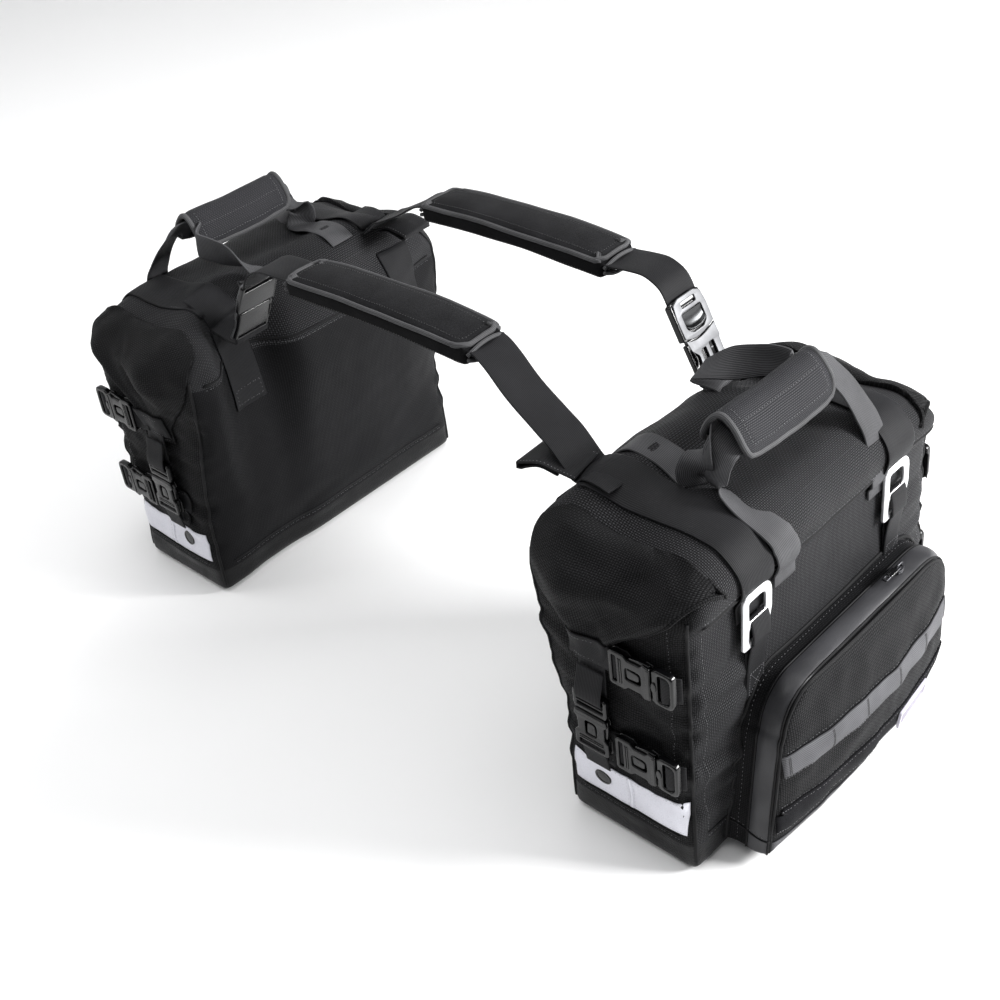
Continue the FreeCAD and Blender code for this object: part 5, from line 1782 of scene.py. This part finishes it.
def make_end(end):
    """One end panel's hardware: two cross buckles, the roll buckle and their webbing."""
    sign = SLOPE[end]
    out = Vector((sign, 0, 0))
    way = OUT["rear"] if sign > 0 else OUT["fore"]
    flat_x = sign * (HALF_LENGTH + 11.2)
    roll_x = sign * (HALF_LENGTH + 13.6)
    mouth_y = FRONT + 34
    sockets, webbing, rows = [], [], []
    for level, height in (("upper", 265), ("lower", 146)):
        matrix = buckle_frame((flat_x, mouth_y, height), (0, -1, 0), out)
        sockets += socket_parts(matrix)
        tongue = joined("left_tongue_%s_%s_moulding" % (end, level), tongue_parts(matrix, False))
        name = "tongue_%s_%s" % (end, level)
        piece(tongue, name, replaces=(name,), slot="buckle_plastic")
        # Webbing from the front seam round the tongue's bar.
        bar_y = mouth_y - 15
        inner = sign * (HALF_LENGTH + 4)
        fold = [(inner, FRONT + 4, height), (inner + sign * 2, mouth_y - 26, height),
                (flat_x - sign * 3.6, bar_y - 6, height), (flat_x - sign * 4.2, bar_y + 1, height),
                (flat_x - sign * 1.0, bar_y + 4.4, height), (flat_x + sign * 2.6, bar_y + 2.2, height),
                (flat_x + sign * 2.4, bar_y - 3, height), (flat_x - sign * 1.0, bar_y - 9.5, height)]
        loop = ribbon("left_tongue_webbing_%s_%s" % (end, level), fold, [(0, 0, 1)], 32, 1.8, "webbing", 2.0)
        piece(loop, blend=("bag", name), start=(inner, FRONT + 4, height), end=(flat_x, bar_y - 8, height),
              slot="webbing")
        rear = [(sign * 300, mouth_y + 40, height), (sign * 300, mouth_y + 62, height),
                (sign * 300, BACK - 26, height)]
        webbing.append(draped("socket_webbing_%s" % level, WRAPPED, rear, way, 34, 2.4))
        inner_x = flat_x - sign * 5.0
        tail = [(inner_x, mouth_y + 60, height), (flat_x - sign * 3.4, mouth_y + 49, height),
                (flat_x, mouth_y + 43, height), (flat_x + sign * 2.6, mouth_y + 46, height),
                (flat_x - sign * 1.4, mouth_y + 56, height), (inner_x + sign * 2.0, mouth_y + 72, height)]
        webbing.append(ribbon("socket_fold_%s" % level, tail, [(0, 0, 1)], 32, 1.8, "webbing", 2.5))
        for edge in (-13, 13):
            rows.append(WRAPPED.run([(sign * 300, y, height + edge) for y in (mouth_y + 76, BACK - 34)],
                                    way, 3.8, 3.0))
    matrix = buckle_frame((roll_x, BACK - 55, 182), (0, 0, 1), out)
    sockets += socket_parts(matrix)
    name = "tongue_%s_roll" % end
    tongue = joined("left_%s_moulding" % name, tongue_parts(matrix, True))
    piece(tongue, name, replaces=(name,), slot="buckle_plastic")
    x, y = roll_x - sign * 4, BACK - 55
    fold = [(sign * (HALF_LENGTH + 7), y, 252), (sign * (HALF_LENGTH + 8), y, 234), (x - sign * 1.0, y, 216),
            (x - sign * 1.0, y, 204), (roll_x, y, 198.5), (roll_x + sign * 5.4, y, 201),
            (roll_x + sign * 5.0, y, 212),
            (roll_x + sign * 1.0, y, 226), (sign * (HALF_LENGTH + 11), y, 240)]
    band = ribbon("left_roll_webbing_" + end, fold, [(0, 1, 0)], 34, 1.8, "webbing", 2.5)
    piece(band, blend=("bag", name), start=(x, y, 240), end=(x, y, 212), slot="webbing")
    lower = [(sign * 300, BACK - 55, z) for z in (150, 134, 118, 104)]
    webbing.append(draped("roll_tail", SKIN, lower, way, 34, 2.6))
    tail = [(x + sign * 0.4, y, 116), (roll_x - sign * 3.0, y, 130), (roll_x, y, 138.5),
            (roll_x + sign * 3.0, y, 134),
            (roll_x + sign * 0.5, y, 122), (x + sign * 1.6, y, 104)]
    webbing.append(ribbon("roll_fold", tail, [(0, 1, 0)], 32, 1.8, "webbing", 2.5))
    for edge in (-13, 13):
        rows.append(SKIN.run([(sign * 300, BACK - 55 + edge, z) for z in (107, 117)], way, 3.9, 3.0))
    piece(joined("left_sockets_" + end, sockets), "bag",
          replaces=("buckle_sockets",), slot="buckle_plastic")
    piece(joined("left_end_webbing_" + end, webbing), "bag", slot="webbing")
    # The reflective strip above the base, with its seam, edge stitching and blank round patch.
    low, high = 53, 97
    middle = (low + high) / 2
    path = [(sign * 300, y, middle) for y in np.linspace(FRONT + 11, BACK - 12, 9)]
    strip = draped("strip", SKIN, path, way, high - low, 0.9, 1.2, "reflector", 4.0)
    divider = draped("divider", SKIN, [(sign * 300, y, middle) for y in (-401, -397)], way, high - low, 1.3,
                     1.4,
                     "reflector", 2.0)
    spot, normal = SKIN.drop((sign * 300, -362, middle + 2), way, 2.0)
    patch = layers("plastic", facing(spot, normal, (0, 1, 0)), [
        (circle(10.5), [], 1.6, 0.5, 0), (circle(10.5), [circle(7.6)], 2.6, 0.6, 0)])
    piece(joined("left_reflector_" + end, [strip, divider] + patch), "bag",
          replaces=("reflective_strips",), slot="reflective")
    white = []
    for z in (low + 2.5, high - 2.5):
        white.append(SKIN.run([(sign * 300, y, z) for y in np.linspace(FRONT + 14, BACK - 15, 9)], way, 1.6,
                              3.0))
    for y in (-395, -403):
        white.append(SKIN.run([(sign * 300, y, z) for z in (low + 3, middle, high - 3)], way, 1.8, 3.0))
    piece(stitches("left_reflector_stitching_" + end, white, "white_thread", radius=0.34), "bag",
          slot="reflective")
    piece(stitches("left_end_stitching_" + end, rows, "grey_thread", radius=0.3), "bag", slot="webbing")


for end_name in ("front", "rear"):
    make_end(end_name)


# ================================================================ latch of the rear strap

FLAT = Matrix(((1, 0, 0), (0, 0, -1), (0, 1, 0))).to_4x4()


def on_latch(height):
    """The latch's own plane, raised towards its outer face."""
    return LATCH @ FLAT @ Matrix.Translation((0, 0, height))


def split_line(x):
    """The curved parting line between the latch's frame and its insert."""
    share = x / 27.0
    return 5.5 * share * share - 1.5 + 1.2 * math.sin(2.4 * share)


def make_latch():
    line = [(x, split_line(x)) for x in np.linspace(-26, 26, 14)]
    face = [(x, z + 1.4, 0) for x, z in line] + [(26.5, 28, 3), (24, 44, 4), (14, 48.5, 8), (-14, 48.5, 8),
                                                 (-24, 44, 4),
                                                (-26.5, 28, 3)]
    slot = box_loop(-12, 36, 12, 42.5, 1.2)
    recess = [(-17, 31, 3), (-17, 12, 7), (-9, 6.6, 6), (9, 6.6, 6), (17, 12, 7), (17, 31, 3)][::-1]
    carrier = [(-29, 4, 2), (-28, 26, 3), (-26, 47, 4), (26, 47, 4), (28, 26, 3), (28.5, 4, 2)]
    strap_bar = box_loop(-22, 38, 22, 44, 1.5)
    frame_parts = [
        plate("latch_face", face, [slot, recess], 3.0, 1.0, "latch", on_latch(3.4), 4),
        plate("latch_carrier", carrier[::-1], [strap_bar], 6.0, 1.4, "plastic", on_latch(-1.2)),
        plate("latch_side", [(-29, 2, 1.5), (-29, 44, 3), (-25.5, 46, 2), (-25.5, 2, 1.5)][::-1], [], 9.0,
              1.5,
              "plastic", on_latch(0)),
    ]
    piece(joined("left_latch_frame_body", frame_parts), "bag", replaces=("latch_frame",), slot="latch_metal")
    # Thumb lever: a polished dished pad with a lip along its lower edge.
    across, up = 24, 20
    grid, faces, uv = [], [], []
    for row in range(up + 1):
        for column in range(across + 1):
            a, c = 2 * column / across - 1, row / up
            low = 8.6 + 5.0 * abs(a) ** 3
            z = low + (30.0 - low) * c
            lip = math.exp(-((c - 0.08) / 0.09) ** 2)
            depth = 2.6 * math.sin(math.pi * min(1.0, c * 0.92 + 0.04)) * (1 - 0.35 * a * a) * (1 - 0.9 * lip)
            grid.append(on_latch(4.6 + 0.9 * lip - depth) @ Vector((a * 16.3, z, 0)))
    for row in range(up):
        for column in range(across):
            k = row * (across + 1) + column
            face_corners = (k, k + 1, k + across + 2, k + across + 1)
            faces.append(face_corners)
            uv += [(grid[i][2], grid[i][0]) for i in face_corners]
    rim = list(range(across + 1)) + [(row + 1) * (across + 1) + across for row in range(up)]
    rim += [up * (across + 1) + across - 1 - k for k in range(across)]
    rim += [(up - 1 - row) * (across + 1) for row in range(up - 1)]
    base = len(grid)
    inward = (on_latch(0) @ Vector((0, 0, 0))) - (on_latch(1) @ Vector((0, 0, 0)))
    grid += [grid[index] + inward * 3.0 for index in rim]
    for k in range(len(rim)):
        following = (k + 1) % len(rim)
        corners = (rim[following], rim[k], base + k, base + following)
        faces.append(corners)
        uv += [(grid[i][2], grid[i][0]) for i in corners]
    faces.append(tuple(base + k for k in reversed(range(len(rim)))))
    uv += [(grid[base + k][2], grid[base + k][0]) for k in reversed(range(len(rim)))]
    lever = mesh_object("left_latch_lever_pad", grid, faces, "polished", uv)
    shade_by_angle(lever, 50)
    piece(lever, "latch_lever", replaces=("latch_lever",), slot="latch_metal")
    # The insert: a silver face with two windows over a black body, a side arm and a webbing slot.
    body_outline = [(x, z - 0.4, 0) for x, z in line]
    body_outline += [(26.5, -12, 1.5), (24.5, -15, 1.5), (24, -28, 3), (28.5, -44, 3), (27, -47, 2),
                     (-27, -47, 2),
                     (-28.5, -42, 3), (-17, -36, 6), (-15, -20, 7), (-23, -12, 3)]
    windows = [[(-10, -36, 1.5), (-1.5, -36, 1.5), (-1.5, -15, 1.5), (-10, -15, 3)][::1],
               [(5, -35, 1.5), (13.5, -35, 1.5), (13.5, -13, 1.5), (5, -13, 1.5)]]
    back = [(-23, 1, 2), (23, 1, 2), (24, -28, 3), (27, -44, 3), (-27, -44, 3), (-24, -28, 3)]
    slit = box_loop(-22, -43.5, 22, -39.5, 1.0)
    arm = [(-28.5, -2, 2), (-24, -2, 2), (-20, -14, 5), (-19, -26, 5), (-22, -42, 3), (-28, -46, 3),
           (-28, -30, 3)]
    arm_gap = [(-25.5, -9, 1.2), (-22.6, -12, 1.2), (-21.8, -24, 2), (-24.5, -30, 1.5), (-26, -20, 1.5)]
    insert_parts = [
        plate("insert_face", body_outline, windows + [box_loop(-23, -44.5, 23, -41.5, 0.8)], 3.0, 0.9,
              "latch",
              on_latch(3.2), 4),
        plate("insert_body", back, [slit], 5.4, 1.2, "plastic", on_latch(-1.0)),
        plate("insert_arm", arm, [arm_gap], 7.0, 1.5, "plastic", on_latch(1.0)),
        plate("insert_tooth", [(6, -21, 0.8), (10, -21, 0.8), (10, -18.5, 0.8), (6, -18.5, 0.8)], [], 3.0,
              0.7, "latch",
              on_latch(2.6)),
        plate("insert_blade", box_loop(-13, 0, 13, 26, 2), [], 3.4, 0.8, "plastic", on_latch(-1.2)),
    ]
    piece(joined("left_latch_insert_body", insert_parts), "latch_insert", replaces=("latch_insert",),
          slot="latch_metal")


make_latch()


# ================================================================ zip slider and its pull

def make_slider():
    low, high = span("left_zip_slider")
    middle = (low + high) / 2
    top = Matrix.Translation((middle.x, middle.y, low.z + 2.0))
    outline = [(-7, -3.4, 1.5), (-2, -5, 2), (3, -4.2, 2), (7, -2.2, 1.5), (7, 2.2, 1.5), (3, 4.2, 2),
               (-2, 5, 2),
               (-7, 3.4, 1.5)]
    parts = [plate("slider_top", outline, [], 2.2, 0.8, "zip_metal", top),
             plate("slider_under", outline, [], 2.0, 0.7, "zip_metal",
                   top @ Matrix.Translation((0, 0, -2.4)))]
    bridge = [(middle.x + 5, middle.y, low.z + 2.6), (middle.x + 4.6, middle.y, high.z + 0.2),
              (middle.x, middle.y, high.z + 0.8), (middle.x - 4.6, middle.y, high.z + 0.2),
              (middle.x - 5, middle.y, low.z + 2.6)]
    parts.append(cord("slider_bridge", bridge, 1.5, "zip_metal", sides=8, step=1.5))
    piece(joined("left_zip_slider_body", parts), "zip_slider", replaces=("zip_slider",), slot="zip_metal")
    low, high = span("left_zip_pull")
    place = Matrix.Translation(((low.x + high.x) / 2, (low.y + high.y) / 2, (low.z + high.z) / 2))
    reach = (high.x - low.x) / 2
    tab = [(-reach + 1, -3.4, 2), (reach - 6, -3.4, 2), (reach - 1, -2.6, 2.4), (reach - 1, 2.6, 2.4),
           (reach - 6, 3.4, 2),
           (-reach + 1, 3.4, 2)]
    eye = box_loop(reach - 7, -1.6, reach - 3, 1.6, 1.2)
    hole = box_loop(-reach + 3.5, -1.5, -reach + 8, 1.5, 1.2)
    pull = [plate("pull_tab", tab, [eye, hole], 2.2, 0.7, "zip_metal", place)]
    sleeve = box_loop(-reach + 10, -3.8, reach - 9, 3.8, 1.5)
    pull.append(plate("pull_sleeve", sleeve, [], 3.6, 1.1, "plastic", place))
    piece(joined("left_zip_pull_body", pull), "zip_pull", replaces=("zip_pull",), slot="zip_metal")


make_slider()


# ================================================================ ending: register, stage and camera

TURN = Matrix.Rotation(math.pi, 4, "Z")


def body_name(side, name):
    """The CAD body a left or right piece rides on."""
    return name if name == "yoke" else side + "_" + name


def assemble():
    """Ride and replace for both bags; pieces that span two bodies are only baked into place."""
    for item in PIECES:
        thing = item["thing"]
        copies = [("left", thing)]
        if item["bag"]:
            twin = thing.copy()
            twin.data = thing.data.copy()
            bpy.context.scene.collection.objects.link(twin)
            twin.name = thing.name.replace("left_", "right_")
            twin.data.transform(TURN)
            copies.append(("right", twin))
        for side, copy in copies:
            if item["blend"]:
                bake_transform(copy)
            else:
                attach(copy, body_name(side, item["body"]))
            if item["replaces"]:
                names = [name if name.startswith("yoke") else side + "_" + name for name in item["replaces"]]
                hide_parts(*names)


assemble()


def make_stage():
    """A pale seamless floor that curves up behind the object."""
    points, faces = [], []
    rows = [(-6000, 0), (3200, 0)]
    rows += [(3200 + 900 * math.sin(t), 900 - 900 * math.cos(t)) for t in np.linspace(0.15, math.pi / 2, 9)]
    rows.append((4100, 5200))
    for y, z in rows:
        points += [(-7000, y, z), (7000, y, z)]
    faces = [(2 * i, 2 * i + 1, 2 * i + 3, 2 * i + 2) for i in range(len(rows) - 1)]
    mesh = bpy.data.meshes.new("studio_floor")
    turn = Matrix.Rotation(math.radians(-42), 4, "Z")
    mesh.from_pydata([turn @ (Vector(point) * MM) for point in points], [], faces)
    nodes = Nodes("studio_paper")
    shade = nodes.ramp(nodes.noise(0.8, 2.0), 0.89, 0.92)
    tone = nodes.add("ShaderNodeCombineColor")
    for socket in tone.inputs:
        nodes.wire(shade, socket)
    mesh.materials.append(nodes.surface(tone.outputs[0], 0.9))
    floor = bpy.data.objects.new("studio_floor", mesh)
    bpy.context.scene.collection.objects.link(floor)


def area_light(name, place, target, size, power, colour=(1, 1, 1)):
    data = bpy.data.lights.new(name, "AREA")
    data.shape = "RECTANGLE"
    data.size, data.size_y = size
    data.energy = power
    data.color = colour
    lamp = bpy.data.objects.new(name, data)
    lamp.location = place
    lamp.rotation_euler = (Vector(target) - Vector(place)).to_track_quat("-Z", "Y").to_euler()
    bpy.context.scene.collection.objects.link(lamp)


def make_light():
    world = bpy.data.worlds.new("studio")
    world.use_nodes = True
    background = world.node_tree.nodes["Background"]
    background.inputs[0].default_value = (0.97, 0.98, 1.0, 1)
    background.inputs[1].default_value = 0.26
    bpy.context.scene.world = world
    bpy.context.scene.view_settings.view_transform = "Standard"
    middle = (0, -0.15, 0.25)
    area_light("overhead", (0.1, 0.1, 3.0), middle, (3.4, 3.4), 85)
    area_light("key", (1.5, -2.4, 1.35), (0, -0.4, 0.2), (1.0, 0.8), 190)
    area_light("rim", (-1.6, 2.2, 1.9), middle, (1.6, 1.0), 26)


def make_camera():
    """The photograph's viewpoint: a high three-quarter view from the left front of the motorcycle."""
    azimuth, elevation, roll = (math.radians(value) for value in (-42.93, 35.81, -7.455))
    distance, focal_length, sensor = 1.8815, 54.59, 36.0
    target = Vector((-0.0063, -0.0247, 0.17))
    back = Vector((math.sin(azimuth) * math.cos(elevation), -math.cos(azimuth) * math.cos(elevation),
                   math.sin(elevation)))
    flat_right = Vector((math.cos(azimuth), math.sin(azimuth), 0))
    flat_up = back.cross(flat_right)
    right = math.cos(roll) * flat_right + math.sin(roll) * flat_up
    up = math.cos(roll) * flat_up - math.sin(roll) * flat_right
    data = bpy.data.cameras.new("photo_view")
    data.sensor_width = sensor
    data.lens = focal_length
    data.clip_end = 50
    camera = bpy.data.objects.new("photo_view", data)
    matrix = Matrix((right, up, back)).transposed().to_4x4()
    matrix.translation = target + back * distance
    camera.matrix_world = matrix
    bpy.context.scene.collection.objects.link(camera)
    bpy.context.scene.camera = camera


make_stage()
make_light()
make_camera()
